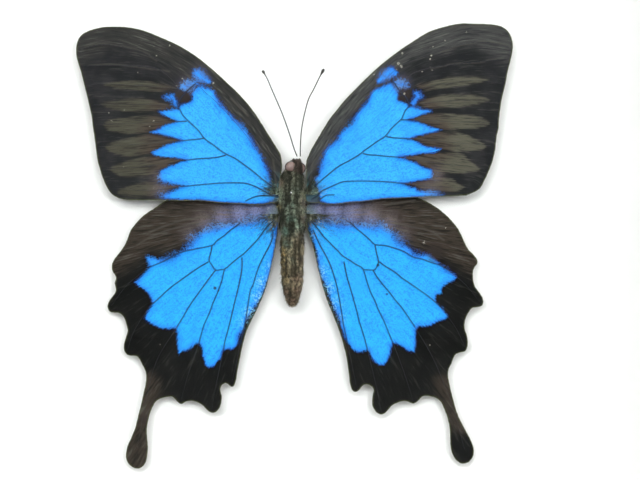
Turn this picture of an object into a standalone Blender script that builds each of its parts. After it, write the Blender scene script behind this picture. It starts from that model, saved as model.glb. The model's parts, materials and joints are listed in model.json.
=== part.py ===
"""A blue swallowtail, spread and pinned on a white board in a glazed box frame.

The frame stands on its bottom rail: X runs to the viewer's right, Z runs up and the glass faces -Y.
The origin is at the bottom centre of the whole thing. A depth is a distance behind the frame's
front face, and a rise is a distance in front of the mount board. Left and right are the viewer's.
"""

import math

import bmesh
import bpy
from mathutils import Matrix, Vector

MM = 0.001
GAP = 0.3 * MM
CUT_PAST = 1 * MM

# Frame moulding
FRAME_SIDE = 210 * MM
RAIL_FACE = 15 * MM
RAIL_DEPTH = 34 * MM
RAIL_WALL = 8.5 * MM
LIP_DEPTH = 5 * MM
INNER_CHAMFER = 1.6 * MM
EDGE_ROUND = 1.2 * MM

# What is stacked in the rabbet, from the front
GLASS_THICK = 2 * MM
SPACER_DEPTH = 16 * MM
SPACER_THICK = 5 * MM
BOARD_THICK = 5 * MM
BACKBOARD_THICK = 2.8 * MM
GLASS_FRONT = LIP_DEPTH + GAP
SPACER_FRONT = GLASS_FRONT + GLASS_THICK + GAP
BOARD_FRONT = SPACER_FRONT + SPACER_DEPTH + GAP
BACKBOARD_FRONT = BOARD_FRONT + BOARD_THICK + GAP
POINT_FRONT = BACKBOARD_FRONT + BACKBOARD_THICK + GAP
PANEL_SIDE = FRAME_SIDE - 2 * (RAIL_WALL + GAP)

# Fittings on the back
POINT_LENGTH = 12 * MM
POINT_WIDTH = 5 * MM
POINT_THICK = 0.6 * MM
POINT_OFFSET = 45 * MM
HANGER_LENGTH = 46 * MM
HANGER_HEIGHT = 7 * MM
HANGER_THICK = 0.6 * MM
HANGER_TEETH = 9
TOOTHED_SHARE = 0.6
TOOTH_HEIGHT = 1.2 * MM
NAIL_SPACING = 40 * MM
NAIL_HEAD_RADIUS = 1.4 * MM
NAIL_HEAD_THICK = 0.6 * MM
NAIL_SHANK_RADIUS = 0.55 * MM
NAIL_LENGTH = 7 * MM
NAIL_POINT = 0.8 * MM
NAIL_END_GAP = 0.2 * MM
NAIL_HOLE_RADIUS = 0.9 * MM
BUMPER_RADIUS = 4 * MM
BUMPER_THICK = 1.6 * MM
BUMPER_OFFSET = 93 * MM
TOTAL_DEPTH = RAIL_DEPTH + GAP + BUMPER_THICK

# Specimen. Its outlines are read by hand in the photograph's pixels, and the real wingspan scales them.
WINGSPAN = 108 * MM
WINGSPAN_PIXELS = 435
PIXEL = WINGSPAN / WINGSPAN_PIXELS
BODY_AXIS_X = 292
SPECIMEN_MIDDLE_Y = 246
WING_THICK = 0.3 * MM
VEIN_RADIUS = 0.2 * MM
VEIN_SINK = 0.04 * MM
VEIN_THINNING = 0.03
WING_CUT_PITCH = 6.7 * MM
PIN_RADIUS = 0.25 * MM
PIN_HOLE_RADIUS = 0.55 * MM
PIN_FRONT_RISE = 8.4 * MM
PIN_BOARD_DEPTH = 4 * MM
PIN_PLACE = (291.5, 193)
ANTENNA_RADIUS = 0.14 * MM
CLUB_SWELL = (1.3, 2.1, 1.2)
LEG_RADIUS = 0.28 * MM
LEG_SWELL = (1.2, 1.0, 0.8, 0.6)

# Corners closer than this are one, and faces whose normal has this share of Y are a slab's flat sides
WELD = 1e-6
FLAT_NORMAL = 0.99

# Rise of the wings at the root and at the tip, the arch between, and the droop towards the tail
FOREWING_RISE = {"root": 4.6 * MM, "tip": 3.3 * MM, "arch": 0.35 * MM, "reach": 54 * MM, "droop": 0.0}
HINDWING_RISE = {"root": 3.4 * MM, "tip": 2.5 * MM, "arch": 0.15 * MM, "reach": 46 * MM, "droop": 0.5 * MM}
TAIL_REACH = 60 * MM

LEFT_FOREWING = [
    (281, 176), (279.2, 188), (278.8, 201), (272, 203), (258, 205), (240, 203.9), (220, 202.9), (200, 200.7),
    (180, 201), (160, 200.3), (140, 200.3), (124, 199.3), (114.5, 196), (108.5, 189.5), (104.3, 181),
    (100, 168.5), (97.8, 160), (96.3, 150), (95, 139), (93.3, 128), (92, 117), (89.5, 106), (87, 96),
    (84.7, 86), (82, 75), (79, 65), (76.8, 57), (76.3, 49), (77.3, 42.5), (80.5, 36.5), (86, 32.3),
    (97, 28.5), (110, 27), (128, 27.6), (144, 31), (160, 37.5), (180, 46.5), (202, 61), (222, 78.5),
    (240, 95.5), (255, 113.5), (266, 131), (277, 148.5), (280.5, 154.5), (281.7, 160), (282, 168),
]
RIGHT_FOREWING = [
    (306.3, 176), (306.1, 189), (306.2, 201.5), (318, 203), (328, 204.4), (338, 204.2), (350, 202.5),
    (365, 201.5), (380, 199.3), (395, 198.4), (415, 197.5), (434, 197.2), (454, 196.2), (466, 195),
    (474.5, 192), (480, 188), (484, 181), (489, 170), (492.7, 160), (495.2, 148), (496.4, 137),
    (498.2, 129), (498.8, 120), (500.3, 108), (502.3, 96), (505.3, 84), (507.5, 72), (510.5, 60),
    (512.2, 52), (512.3, 42), (508, 31.5), (500, 26.2), (490, 24.5), (475, 24), (460, 23.9), (445, 27),
    (430, 31.8), (415, 40.5), (400, 50.5), (385, 61.8), (370, 75), (355, 90), (345, 100), (337, 110),
    (329, 120), (323, 130), (317, 140), (311, 150.3), (308.5, 156), (306.5, 161), (306, 168),
]
LEFT_HINDWING = [
    (277, 206), (262, 198), (240, 192), (215, 190), (190, 193), (175, 197), (163.5, 201.5), (155, 207.7),
    (144, 215), (136, 223), (130, 231), (127, 239.5), (122, 249), (116.5, 256), (112, 263.5),
    (112.3, 271.5), (115.7, 277), (114.5, 283), (115.5, 291), (112.5, 296), (108, 303), (107.5, 308.5),
    (111, 312.5), (118, 312.9), (123, 316.5), (126, 324.5), (127.3, 331), (124.7, 340), (123.7, 350),
    (128, 355.3), (136.5, 356.5), (141.5, 364), (145.3, 372), (145.6, 382), (143.5, 392), (140.5, 406),
    (137.5, 417.5), (134.3, 430), (129, 442), (125.6, 453), (126.4, 461), (132, 467.5), (138, 469),
    (144, 465), (147, 455), (147.3, 443), (146.4, 433), (148.2, 419), (152.5, 407), (157, 400.5),
    (165, 397.6), (172, 397), (176.5, 401), (181, 404.2), (186, 401.5), (193, 401.2), (201, 404.2),
    (206.5, 409.5), (212, 413), (217, 411), (220.8, 404), (221.5, 396), (220.5, 388.5), (225, 383.2),
    (229, 385), (232, 387), (235.5, 382), (237.3, 372), (240.3, 356), (243.7, 341), (248.3, 327),
    (255.5, 312.5), (262.5, 297), (267.5, 283), (272.5, 261), (276, 245), (278, 232), (278.3, 218),
]
RIGHT_HINDWING = [
    (307, 205), (322, 198), (345, 192), (370, 189.5), (395, 192), (410, 195), (419.5, 198), (430, 203.3),
    (441, 210.5), (452.5, 221.5), (460, 232), (466, 245), (470, 251), (475.5, 256.5), (477.7, 263),
    (474, 268.5), (473.3, 277), (475, 286), (480.5, 294), (483.7, 301.5), (481.5, 306.3), (473, 307.8),
    (468.5, 313), (465, 322), (465, 329), (467.5, 337), (467.8, 346), (465, 351.5), (456.5, 354),
    (452, 363), (448.3, 371.5), (449.3, 382), (452, 394), (456.3, 410), (461, 421.5), (467.5, 434),
    (472.5, 444), (474.2, 453), (471.5, 460), (465, 464), (459.5, 463), (453.5, 456), (450.7, 445),
    (450.2, 431), (447.7, 418), (444, 408.5), (439.5, 400.5), (431, 396.7), (423, 396.5), (418, 401),
    (413, 403.7), (406.5, 401.3), (399, 402.3), (391, 406.5), (386, 412.5), (381, 414.5), (375.5, 411.5),
    (372.3, 404), (373, 394), (373.5, 389), (368.5, 384.8), (363, 385.3), (359.5, 389.5), (355, 392),
    (351, 387.5), (349.2, 376), (347.8, 366), (345.5, 353), (341.5, 338), (335.5, 321), (328.5, 304),
    (322.5, 286), (317.5, 267), (312.5, 245), (308, 233), (306.3, 226), (306.2, 215),
]

# Main veins, from the root outwards: the rib along the front edge, the cell and the branches to the margin
LEFT_FOREWING_VEINS = [
    [(279, 178), (262, 157), (245, 134), (225, 111), (205, 92), (180, 72), (150, 56), (110, 45), (80, 49)],
    [
        (277, 188), (262, 179), (243, 164), (228, 155.5), (209, 142), (199, 131), (187, 120.5), (178, 103),
        (196, 84),
    ],
    [(184, 93), (160, 70), (128, 66), (82, 66)],
    [(181, 110), (150, 87), (103, 84), (88, 86)],
    [(179, 106), (150, 105), (94, 105)],
    [(188, 121), (177, 122), (150, 123), (96, 125)],
    [(207, 139), (182, 141), (150, 143.5), (99, 147)],
    [(228, 155.5), (208, 158.5), (184, 160.5), (150, 166), (103, 170)],
    [(277, 196), (255, 186.5), (240, 183), (210, 183.5), (183, 186.5), (150, 190.5), (113, 189)],
    [(276, 199), (255, 197), (243, 202)],
]
RIGHT_FOREWING_VEINS = [
    [
        (308, 178), (323, 157), (338, 134), (357, 110), (376, 90), (400, 67), (440, 51), (475, 42.5),
        (508, 47),
    ],
    [
        (309, 188), (323, 179.5), (343, 164.5), (363, 153), (385, 136.5), (391, 129), (402, 118), (409, 105),
        (393, 82),
    ],
    [(400, 93), (412, 74), (448, 65.5), (506, 59)],
    [(407, 108), (440, 84.5), (475, 80.5), (502, 84)],
    [(408, 105), (424, 103), (464, 101), (498, 103)],
    [(400, 120.3), (411, 120), (440, 121.5), (494, 123)],
    [(385, 136.8), (407, 138.8), (440, 141.5), (491, 146)],
    [(362, 153.8), (376, 155.5), (399, 157.5), (440, 163.5), (485, 169)],
    [(309, 197), (322, 191), (340, 183), (366, 181.3), (400, 183.3), (430, 186.5), (470, 188)],
    [(309, 200), (326, 196.5), (342, 201.5)],
]
LEFT_HINDWING_VEINS = [
    [(274, 211), (226, 207), (180, 209), (140, 226)],
    [(250, 214), (226, 222), (190, 224.5), (155, 235), (132, 248), (116, 264)],
    [(274, 214), (240, 223), (225, 235), (212, 245.5), (178, 253), (147, 268), (126, 286), (111, 306)],
    [(212, 244), (209.5, 256), (212, 265), (224.5, 269.5)],
    [(275, 219), (258, 239), (244, 253.5), (222, 270), (213, 303), (199, 343), (188, 375), (181, 400)],
    [(209, 259), (185, 277), (149, 307), (134, 331), (127, 350)],
    [(211, 263), (200, 291), (176.5, 327.5), (156, 362), (145, 405), (137, 448)],
    [(242, 254), (234, 305), (223.5, 350), (216, 385), (212, 408)],
    [(274, 228), (260, 264), (250, 300), (240, 345), (232, 382)],
]
RIGHT_HINDWING_VEINS = [
    [(309, 211), (352, 207), (404, 205), (446, 221)],
    [(330, 214), (352, 221), (400, 224), (432, 233), (455, 246), (473, 261)],
    [(309, 214), (345, 221), (362, 233), (375, 244.5), (404, 251.5), (447, 269), (465, 284), (480, 302)],
    [(375, 243.5), (378, 260), (374, 269.5), (362, 269.5)],
    [(309, 220), (323, 236), (343, 256), (365, 270), (378, 309), (394, 345), (405, 375), (413, 400)],
    [(377, 261), (402, 278), (437, 305.5), (456, 328), (465, 347)],
    [(373, 269), (390, 293), (415, 327), (434, 360), (452, 405), (465, 450)],
    [(342, 256), (352, 294), (367.5, 350), (376, 385), (381, 410)],
    [(309, 226), (327, 258), (340, 303), (347, 345), (354, 387)],
]

# Body: (place along the axis, half width), both in the photograph's pixels
THORAX = [
    (170, 0), (172, 6), (177, 9.6), (185, 11.2), (195, 11.9), (207, 11.9), (218, 11.2), (226, 10), (233, 7),
    (237, 0),
]
ABDOMEN = [
    (226, 0), (229, 7), (236, 10.2), (255, 11.3), (275, 10.9), (288, 9.2), (297, 6.4), (302, 3.8), (305, 0),
]
ABDOMEN_RINGS = 8
RING_DIP = 0.06
BODY_STEPS = 14
BODY_MIDDLE_X = 292.3
THORAX_RISE = 4.6 * MM
ABDOMEN_RISE = 4.3 * MM
ABDOMEN_TIP_RISE = 3.5 * MM
THORAX_DEPTH = 1.12
HEAD = {"place": (295.2, 168.5), "rise": 4.9 * MM, "size": (2.15 * MM, 2.0 * MM, 1.9 * MM)}
EYES = [{"place": (291.2, 167.5), "rise": 5.5 * MM}, {"place": (299.4, 168.3), "rise": 4.9 * MM}]
EYE_RADIUS = 1.25 * MM
PALPS = [(293.6, 163), (299.6, 163)]
PALP_SIZE = (0.5 * MM, 0.7 * MM, 1.15 * MM)
PALP_RISE = 3.9 * MM
TONGUE_RADIUS = 0.75 * MM
TONGUE_THICK = 0.2 * MM
TONGUE_RISE = 3.4 * MM
TONGUE_START = 0.2 * math.pi
TONGUE_TURN = 1.5 * math.pi
TONGUE_STEPS = 8

# Antennae and legs: x and y in the photograph's pixels, then the rise
LEFT_ANTENNA = [
    (297.3, 157, 5.7 * MM), (294, 148.5, 5.9 * MM), (289.5, 134, 5.9 * MM), (282.5, 114.5, 5.7 * MM),
    (275, 97, 5.4 * MM), (271.5, 89, 5.2 * MM), (267.5, 79.5, 5.0 * MM), (265, 75, 4.9 * MM),
    (262.7, 71, 4.8 * MM),
]
RIGHT_ANTENNA = [
    (300.4, 157, 5.7 * MM), (300.6, 145, 5.9 * MM), (301.6, 131, 5.9 * MM), (304.3, 116, 5.7 * MM),
    (308.6, 100, 5.5 * MM), (313.5, 90.5, 5.3 * MM), (318.5, 80, 5.0 * MM), (321, 75.2, 4.9 * MM),
    (324, 69.5, 4.8 * MM),
]
LEG_ROUTES = [
    [(289, 186, 2.6 * MM), (281, 178, 1.2 * MM), (286, 168, 0.8 * MM), (291, 160, 0.8 * MM)],
    [(288.5, 200, 2.6 * MM), (278, 206, 1.2 * MM), (283, 219, 0.8 * MM), (289, 228, 0.8 * MM)],
    [(289, 214, 2.6 * MM), (279.5, 224, 1.2 * MM), (284, 240, 0.8 * MM), (288, 254, 0.8 * MM)],
]


def depth_y(depth):
    """The Y of a depth behind the frame's front face."""
    return depth - TOTAL_DEPTH / 2


def rise_y(rise):
    """The Y of a rise in front of the mount board."""
    return depth_y(BOARD_FRONT - rise)


def place(x, y, rise=0.0):
    """The point in the model of a pixel in the photograph, at a rise."""
    height = FRAME_SIDE / 2 - (y - SPECIMEN_MIDDLE_Y) * PIXEL
    return Vector(((x - BODY_AXIS_X) * PIXEL, rise_y(rise), height))


def clear_scene():
    for old in list(bpy.data.objects):
        bpy.data.objects.remove(old)


def collection(name):
    made = bpy.data.collections.new(name)
    bpy.context.scene.collection.children.link(made)
    return made


def material(name, color, roughness, metallic=0.0, transmission=0.0):
    made = bpy.data.materials.new(name)
    made.use_nodes = True
    shader = made.node_tree.nodes["Principled BSDF"]
    shader.inputs["Base Color"].default_value = (*color, 1)
    shader.inputs["Roughness"].default_value = roughness
    shader.inputs["Metallic"].default_value = metallic
    shader.inputs["Transmission Weight"].default_value = transmission
    made.diffuse_color = (*color, 1)
    return made


def add_object(name, mesh, home, finish=None):
    made = bpy.data.objects.new(name, mesh)
    home.objects.link(made)
    if finish:
        made.data.materials.clear()
        made.data.materials.append(finish)
    return made


def mesh_from(shape):
    """A new mesh of the bmesh, which is freed."""
    mesh = bpy.data.meshes.new("shape")
    shape.to_mesh(mesh)
    shape.free()
    return mesh


def box_mesh(low, high):
    """A box between two opposite corners."""
    shape = bmesh.new()
    bmesh.ops.create_cube(shape, size=1)
    size = Vector(high) - Vector(low)
    middle = (Vector(high) + Vector(low)) / 2
    stretch = Matrix.Translation(middle) @ Matrix.Diagonal((*size, 1))
    bmesh.ops.transform(shape, matrix=stretch, verts=shape.verts)
    return mesh_from(shape)


def rod_mesh(start, end, radius, sides=12):
    """A round rod between two points."""
    start, end = Vector(start), Vector(end)
    turn = (end - start).to_track_quat("Z", "Y").to_matrix().to_4x4()
    shape = bmesh.new()
    bmesh.ops.create_cone(
        shape,
        cap_ends=True,
        segments=sides,
        radius1=radius,
        radius2=radius,
        depth=(end - start).length,
        matrix=Matrix.Translation((start + end) / 2) @ turn,
    )
    return mesh_from(shape)


def ball_mesh(centre, size, columns=12, rows=8):
    """An ellipsoid with the given half widths."""
    shape = bmesh.new()
    stretch = Matrix.Translation(centre) @ Matrix.Diagonal((*size, 1))
    bmesh.ops.create_uvsphere(shape, u_segments=columns, v_segments=rows, radius=1, matrix=stretch)
    return mesh_from(shape)


def evaluated_mesh(owner):
    """The object's mesh after its modifiers, in world space."""
    bpy.context.view_layer.update()
    graph = bpy.context.evaluated_depsgraph_get()
    mesh = bpy.data.meshes.new_from_object(owner.evaluated_get(graph))
    mesh.transform(owner.matrix_world)
    return mesh


def curve_mesh(curve, matrix=None):
    """The closed mesh of a curve, with its loose caps welded on."""
    guide = bpy.data.objects.new("curve", curve)
    bpy.context.scene.collection.objects.link(guide)
    if matrix:
        guide.matrix_world = matrix
    mesh = evaluated_mesh(guide)
    bpy.data.objects.remove(guide)
    shape = bmesh.new()
    shape.from_mesh(mesh)
    bmesh.ops.remove_doubles(shape, verts=shape.verts, dist=WELD)
    bmesh.ops.recalc_face_normals(shape, faces=shape.faces)
    shape.to_mesh(mesh)
    shape.free()
    return mesh


def slab_mesh(outlines, thickness, matrix, smooth=0):
    """A slab on a matrix's XY plane with the given flat outlines, those inside the first being holes."""
    curve = bpy.data.curves.new("outline", "CURVE")
    curve.dimensions = "2D"
    curve.fill_mode = "BOTH"
    curve.extrude = thickness / 2
    curve.resolution_u = max(smooth, 1)
    for points in outlines:
        if smooth:
            line = curve.splines.new("BEZIER")
            line.bezier_points.add(len(points) - 1)
            for knot, (x, y) in zip(line.bezier_points, points):
                knot.co = (x, y, 0)
                knot.handle_left_type = knot.handle_right_type = "AUTO"
        else:
            line = curve.splines.new("POLY")
            line.points.add(len(points) - 1)
            for knot, (x, y) in zip(line.points, points):
                knot.co = (x, y, 0, 1)
        line.use_cyclic_u = True
    return curve_mesh(curve, matrix)


def tube_mesh(points, radius, bevel_resolution=0, swell=None):
    """A tube along the points. swell gives each point's share of the radius."""
    curve = bpy.data.curves.new("line", "CURVE")
    curve.dimensions = "3D"
    curve.bevel_depth = radius
    curve.bevel_resolution = bevel_resolution
    curve.use_fill_caps = True
    line = curve.splines.new("POLY")
    line.points.add(len(points) - 1)
    for i, (knot, point) in enumerate(zip(line.points, points)):
        knot.co = (*point, 1)
        knot.radius = swell[i] if swell else 1
    return curve_mesh(curve)


def turned_mesh(profile, steps, matrix):
    """A profile of (radius, height) pairs turned about the Z of a matrix."""
    line = bpy.data.meshes.new("profile")
    line.from_pydata([(r, 0, z) for r, z in profile], [(i, i + 1) for i in range(len(profile) - 1)], [])
    guide = bpy.data.objects.new("profile", line)
    bpy.context.scene.collection.objects.link(guide)
    guide.matrix_world = matrix
    screw = guide.modifiers.new("turn", "SCREW")
    screw.steps = screw.render_steps = steps
    screw.use_merge_vertices = True
    screw.merge_threshold = WELD
    mesh = evaluated_mesh(guide)
    bpy.data.objects.remove(guide)
    shape = bmesh.new()
    shape.from_mesh(mesh)
    bmesh.ops.recalc_face_normals(shape, faces=shape.faces)
    shape.to_mesh(mesh)
    shape.free()
    return mesh


def combine(base, other, operation):
    """Joins a mesh to the base object, or cuts it away, for good."""
    tool = bpy.data.objects.new("tool", other)
    bpy.context.scene.collection.objects.link(tool)
    step = base.modifiers.new("combine", "BOOLEAN")
    step.operation = operation
    step.solver = "EXACT"
    step.object = tool
    mesh = evaluated_mesh(base)
    base.modifiers.remove(step)
    base.data = mesh
    bpy.data.objects.remove(tool)


def cut(target, mesh, home):
    """Leaves a hidden cutter on the target as a live Boolean."""
    cutter = add_object(f"{target.name}_cutter", mesh, home)
    cutter.hide_render = True
    cutter.display_type = "WIRE"
    step = target.modifiers.new("cut", "BOOLEAN")
    step.operation = "DIFFERENCE"
    step.solver = "EXACT"
    step.object = cutter


def rounded_corner(corner, before, after, radius, steps=3):
    """Points of the arc that rounds a right-angled corner between two directions."""
    corner, before, after = Vector(corner), Vector(before), Vector(after)
    centre = corner + (before + after) * radius
    return [
        tuple(centre - radius * (after * math.cos(angle) + before * math.sin(angle)))
        for angle in (math.pi / 2 * i / steps for i in range(steps + 1))
    ]


def rail_profile():
    """The moulding's section as (depth, distance in from the outer edge)."""
    return [
        (RAIL_DEPTH, RAIL_WALL),
        (RAIL_DEPTH, 0),
        *reversed(rounded_corner((0, 0), (0, 1), (1, 0), EDGE_ROUND)),
        (0, RAIL_FACE - 2 * INNER_CHAMFER),
        (INNER_CHAMFER, RAIL_FACE),
        (LIP_DEPTH, RAIL_FACE),
        (LIP_DEPTH, RAIL_WALL),
    ]


def side_turn(quarter_turns):
    """Turns a piece on the bottom side round the frame's middle, first to the viewer's right."""
    middle = Matrix.Translation((0, 0, FRAME_SIDE / 2))
    return middle @ Matrix.Rotation(-quarter_turns * math.pi / 2, 4, "Y") @ middle.inverted()


SIDES = {"bottom": 0, "right": 1, "top": 2, "left": 3}


def rail_mesh():
    """The bottom rail with mitred ends."""
    lay_along_x = Matrix.Translation((0, depth_y(0), 0)) @ Matrix(
        ((0, 0, 1, 0), (1, 0, 0, 0), (0, 1, 0, 0), (0, 0, 0, 1))
    )
    mesh = slab_mesh([rail_profile()], FRAME_SIDE + 2 * RAIL_FACE, lay_along_x)
    shape = bmesh.new()
    shape.from_mesh(mesh)
    end = FRAME_SIDE / 2 - GAP / math.sqrt(2)
    for side in (-1, 1):
        everything = shape.verts[:] + shape.edges[:] + shape.faces[:]
        found = bmesh.ops.bisect_plane(
            shape, geom=everything, plane_co=(side * end, 0, 0), plane_no=(side, 0, 1), clear_outer=True
        )
        rim = [e for e in found["geom_cut"] if isinstance(e, bmesh.types.BMEdge)]
        bmesh.ops.edgenet_fill(shape, edges=rim)
    bmesh.ops.recalc_face_normals(shape, faces=shape.faces)
    shape.to_mesh(mesh)
    shape.free()
    return mesh


def point_box(margin):
    """Corners of the space one fixing point takes in the bottom rail, with a margin all round."""
    reach = POINT_LENGTH / 2 + margin
    half = POINT_WIDTH / 2 + margin
    low = (-half, depth_y(POINT_FRONT) - margin, RAIL_WALL - reach)
    high = (half, depth_y(POINT_FRONT + POINT_THICK) + margin, RAIL_WALL + reach)
    return low, high


def fixing_point_mesh():
    """A thin steel lozenge, its lower half in the bottom rail and its upper half over the backboard."""
    tips = [(0, -POINT_LENGTH / 2), (POINT_WIDTH / 2, 0), (0, POINT_LENGTH / 2), (-POINT_WIDTH / 2, 0)]
    middle = Vector((0, depth_y(POINT_FRONT + POINT_THICK / 2), RAIL_WALL))
    return slab_mesh([tips], POINT_THICK, Matrix.Translation(middle) @ Matrix.Rotation(math.pi / 2, 4, "X"))


def build_rails(home, cutters, finish):
    """The four rails, slotted for the fixing points and drilled for the hanger's nails."""
    for side, turns in SIDES.items():
        mesh = rail_mesh()
        mesh.transform(side_turn(turns))
        rail = add_object(f"frame_rail_{side}", mesh, home, finish)
        for offset in (-POINT_OFFSET, POINT_OFFSET):
            slot = box_mesh(*point_box(GAP))
            slot.transform(side_turn(turns) @ Matrix.Translation((offset, 0, 0)))
            cut(rail, slot, cutters)
        if side == "top":
            for x in (-NAIL_SPACING / 2, NAIL_SPACING / 2):
                z = FRAME_SIDE - RAIL_WALL / 2
                start = (x, depth_y(RAIL_DEPTH - NAIL_LENGTH), z)
                end = (x, depth_y(RAIL_DEPTH + CUT_PAST), z)
                cut(rail, rod_mesh(start, end, NAIL_HOLE_RADIUS), cutters)


def build_fixing_points(home, finish):
    for side, turns in SIDES.items():
        for number, offset in enumerate((-POINT_OFFSET, POINT_OFFSET), 1):
            mesh = fixing_point_mesh()
            mesh.transform(side_turn(turns) @ Matrix.Translation((offset, 0, 0)))
            add_object(f"fixing_point_{side}_{number}", mesh, home, finish)


def panel_mesh(front, thickness):
    """A square panel that fills the rabbet."""
    half = PANEL_SIDE / 2
    middle = FRAME_SIDE / 2
    low = (-half, depth_y(front), middle - half)
    high = (half, depth_y(front + thickness), middle + half)
    return box_mesh(low, high)


def build_spacers(home, finish):
    """Four strips behind the glass, the side ones standing between the top and bottom ones."""
    edge = RAIL_WALL + GAP
    for side, turns in SIDES.items():
        half = PANEL_SIDE / 2
        if side in ("left", "right"):
            half -= SPACER_THICK + GAP
        low = (-half, depth_y(SPACER_FRONT), edge)
        high = (half, depth_y(SPACER_FRONT + SPACER_DEPTH), edge + SPACER_THICK)
        mesh = box_mesh(low, high)
        mesh.transform(side_turn(turns))
        add_object(f"spacer_{side}", mesh, home, finish)


def build_hanger(home, finish):
    """The toothed hanger and its two nails, on the back of the top rail."""
    half, top, bottom = HANGER_LENGTH / 2, HANGER_HEIGHT / 2, -HANGER_HEIGHT / 2
    toothed = HANGER_LENGTH * TOOTHED_SHARE
    pitch = toothed / HANGER_TEETH
    teeth = []
    for i in range(HANGER_TEETH):
        start = -toothed / 2 + i * pitch
        teeth += [(start, bottom), (start + pitch / 2, bottom + TOOTH_HEIGHT)]
    outline = [(-half, bottom), *teeth, (toothed / 2, bottom), (half, bottom), (half, top), (-half, top)]
    holes = []
    for x in (-NAIL_SPACING / 2, NAIL_SPACING / 2):
        angles = [2 * math.pi * i / 12 for i in range(12)]
        holes.append([(x + NAIL_HOLE_RADIUS * math.cos(a), NAIL_HOLE_RADIUS * math.sin(a)) for a in angles])
    z = FRAME_SIDE - RAIL_WALL / 2
    front = RAIL_DEPTH + GAP
    middle = Vector((0, depth_y(front + HANGER_THICK / 2), z))
    plane = Matrix.Translation(middle) @ Matrix.Rotation(math.pi / 2, 4, "X")
    add_object("hanger_plate", slab_mesh([outline, *holes], HANGER_THICK, plane), home, finish)
    head = front + HANGER_THICK + GAP
    profile = [
        (0, NAIL_HEAD_THICK),
        (NAIL_HEAD_RADIUS, NAIL_HEAD_THICK),
        (NAIL_HEAD_RADIUS, 0),
        (NAIL_SHANK_RADIUS, 0),
        (NAIL_SHANK_RADIUS, NAIL_END_GAP + NAIL_POINT - NAIL_LENGTH),
        (0, NAIL_END_GAP - NAIL_LENGTH),
    ]
    for side, x in (("left", -NAIL_SPACING / 2), ("right", NAIL_SPACING / 2)):
        stand = Matrix.Translation((x, depth_y(head), z)) @ Matrix.Rotation(-math.pi / 2, 4, "X")
        add_object(f"hanger_nail_{side}", turned_mesh(profile, 12, stand), home, finish)


def build_bumpers(home, finish):
    for side, x in (("left", -BUMPER_OFFSET), ("right", BUMPER_OFFSET)):
        z = RAIL_WALL / 2
        front = (x, depth_y(RAIL_DEPTH + GAP), z)
        back = (x, depth_y(RAIL_DEPTH + GAP + BUMPER_THICK), z)
        add_object(f"wall_bumper_{side}", rod_mesh(front, back, BUMPER_RADIUS, 20), home, finish)


def wing_rise(shape, point):
    """How far a wing stands in front of the board at a point."""
    out = min(1.0, abs(point.x) / shape["reach"])
    down = min(1.0, max(0.0, (FRAME_SIDE / 2 - point.z) / TAIL_REACH))
    level = shape["root"] + (shape["tip"] - shape["root"]) * out
    return level + shape["arch"] * math.sin(math.pi * out) - shape["droop"] * down


def cut_into_cells(mesh, pitch):
    """Crosses a flat slab with cuts, so that it can be bent."""
    shape = bmesh.new()
    shape.from_mesh(mesh)
    inner = [e for e in shape.edges if all(abs(f.normal.y) > FLAT_NORMAL for f in e.link_faces)]
    bmesh.ops.dissolve_edges(shape, edges=inner)
    for axis in (Vector((1, 0, 0)), Vector((0, 0, 1))):
        along = [v.co.dot(axis) for v in shape.verts]
        first = math.ceil(min(along) / pitch)
        for i in range(first, math.floor(max(along) / pitch) + 1):
            everything = shape.verts[:] + shape.edges[:] + shape.faces[:]
            bmesh.ops.bisect_plane(shape, geom=everything, plane_co=axis * i * pitch, plane_no=axis)
    shape.to_mesh(mesh)
    shape.free()


def build_wing(name, outline, veins, rise, home, finish):
    """A wing: a thin slab with its veins raised on the front, then bent to its rise."""
    flat = [place(x, y) for x, y in outline]
    stand = Matrix.Rotation(math.pi / 2, 4, "X")
    mesh = slab_mesh([[(p.x, p.z) for p in flat]], WING_THICK, stand, smooth=2)
    cut_into_cells(mesh, WING_CUT_PITCH)
    wing = add_object(name, mesh, home)
    vein_y = VEIN_SINK - WING_THICK / 2
    for order, route in enumerate(veins):
        points = [place(x, y) for x, y in route]
        radius = VEIN_RADIUS * (1 - VEIN_THINNING * order)
        combine(wing, tube_mesh([(p.x, vein_y, p.z) for p in points], radius), "UNION")
    for vertex in wing.data.vertices:
        vertex.co.y += rise_y(wing_rise(rise, vertex.co))
    wing.data.materials.clear()
    wing.data.materials.append(finish)


def body_mesh(profile, depth_share, rise_start, rise_end):
    """A section turned along the body's axis, its rise changing from one end to the other."""
    first, last = profile[0][0], profile[-1][0]
    outline = [(width * PIXEL, (first - y) * PIXEL) for y, width in profile]
    top = place(BODY_MIDDLE_X, first)
    stretch = Matrix.Translation((top.x, 0, top.z)) @ Matrix.Diagonal((1, depth_share, 1, 1))
    mesh = turned_mesh(outline, BODY_STEPS, stretch)
    length = (last - first) * PIXEL
    for vertex in mesh.vertices:
        along = (top.z - vertex.co.z) / length
        vertex.co.y += rise_y(rise_start + (rise_end - rise_start) * along)
    return mesh


def width_at(profile, y):
    """The half width of a body profile at a place along it."""
    for (y0, w0), (y1, w1) in zip(profile, profile[1:]):
        if y0 <= y <= y1:
            return w0 + (w1 - w0) * (y - y0) / (y1 - y0)
    return 0.0


def ringed(profile, rings):
    """The profile with a shallow groove between each two of its rings."""
    first, last = profile[1][0], profile[-2][0]
    pitch = (last - first) / rings
    points = [profile[0]]
    for i in range(rings):
        start = first + i * pitch
        for share, dip in ((0.0, RING_DIP), (0.25, 0.0), (0.8, 0.0)):
            y = start + share * pitch
            points.append((y, width_at(profile, y) * (1 - dip)))
    return [*points, profile[-2], profile[-1]]


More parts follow.
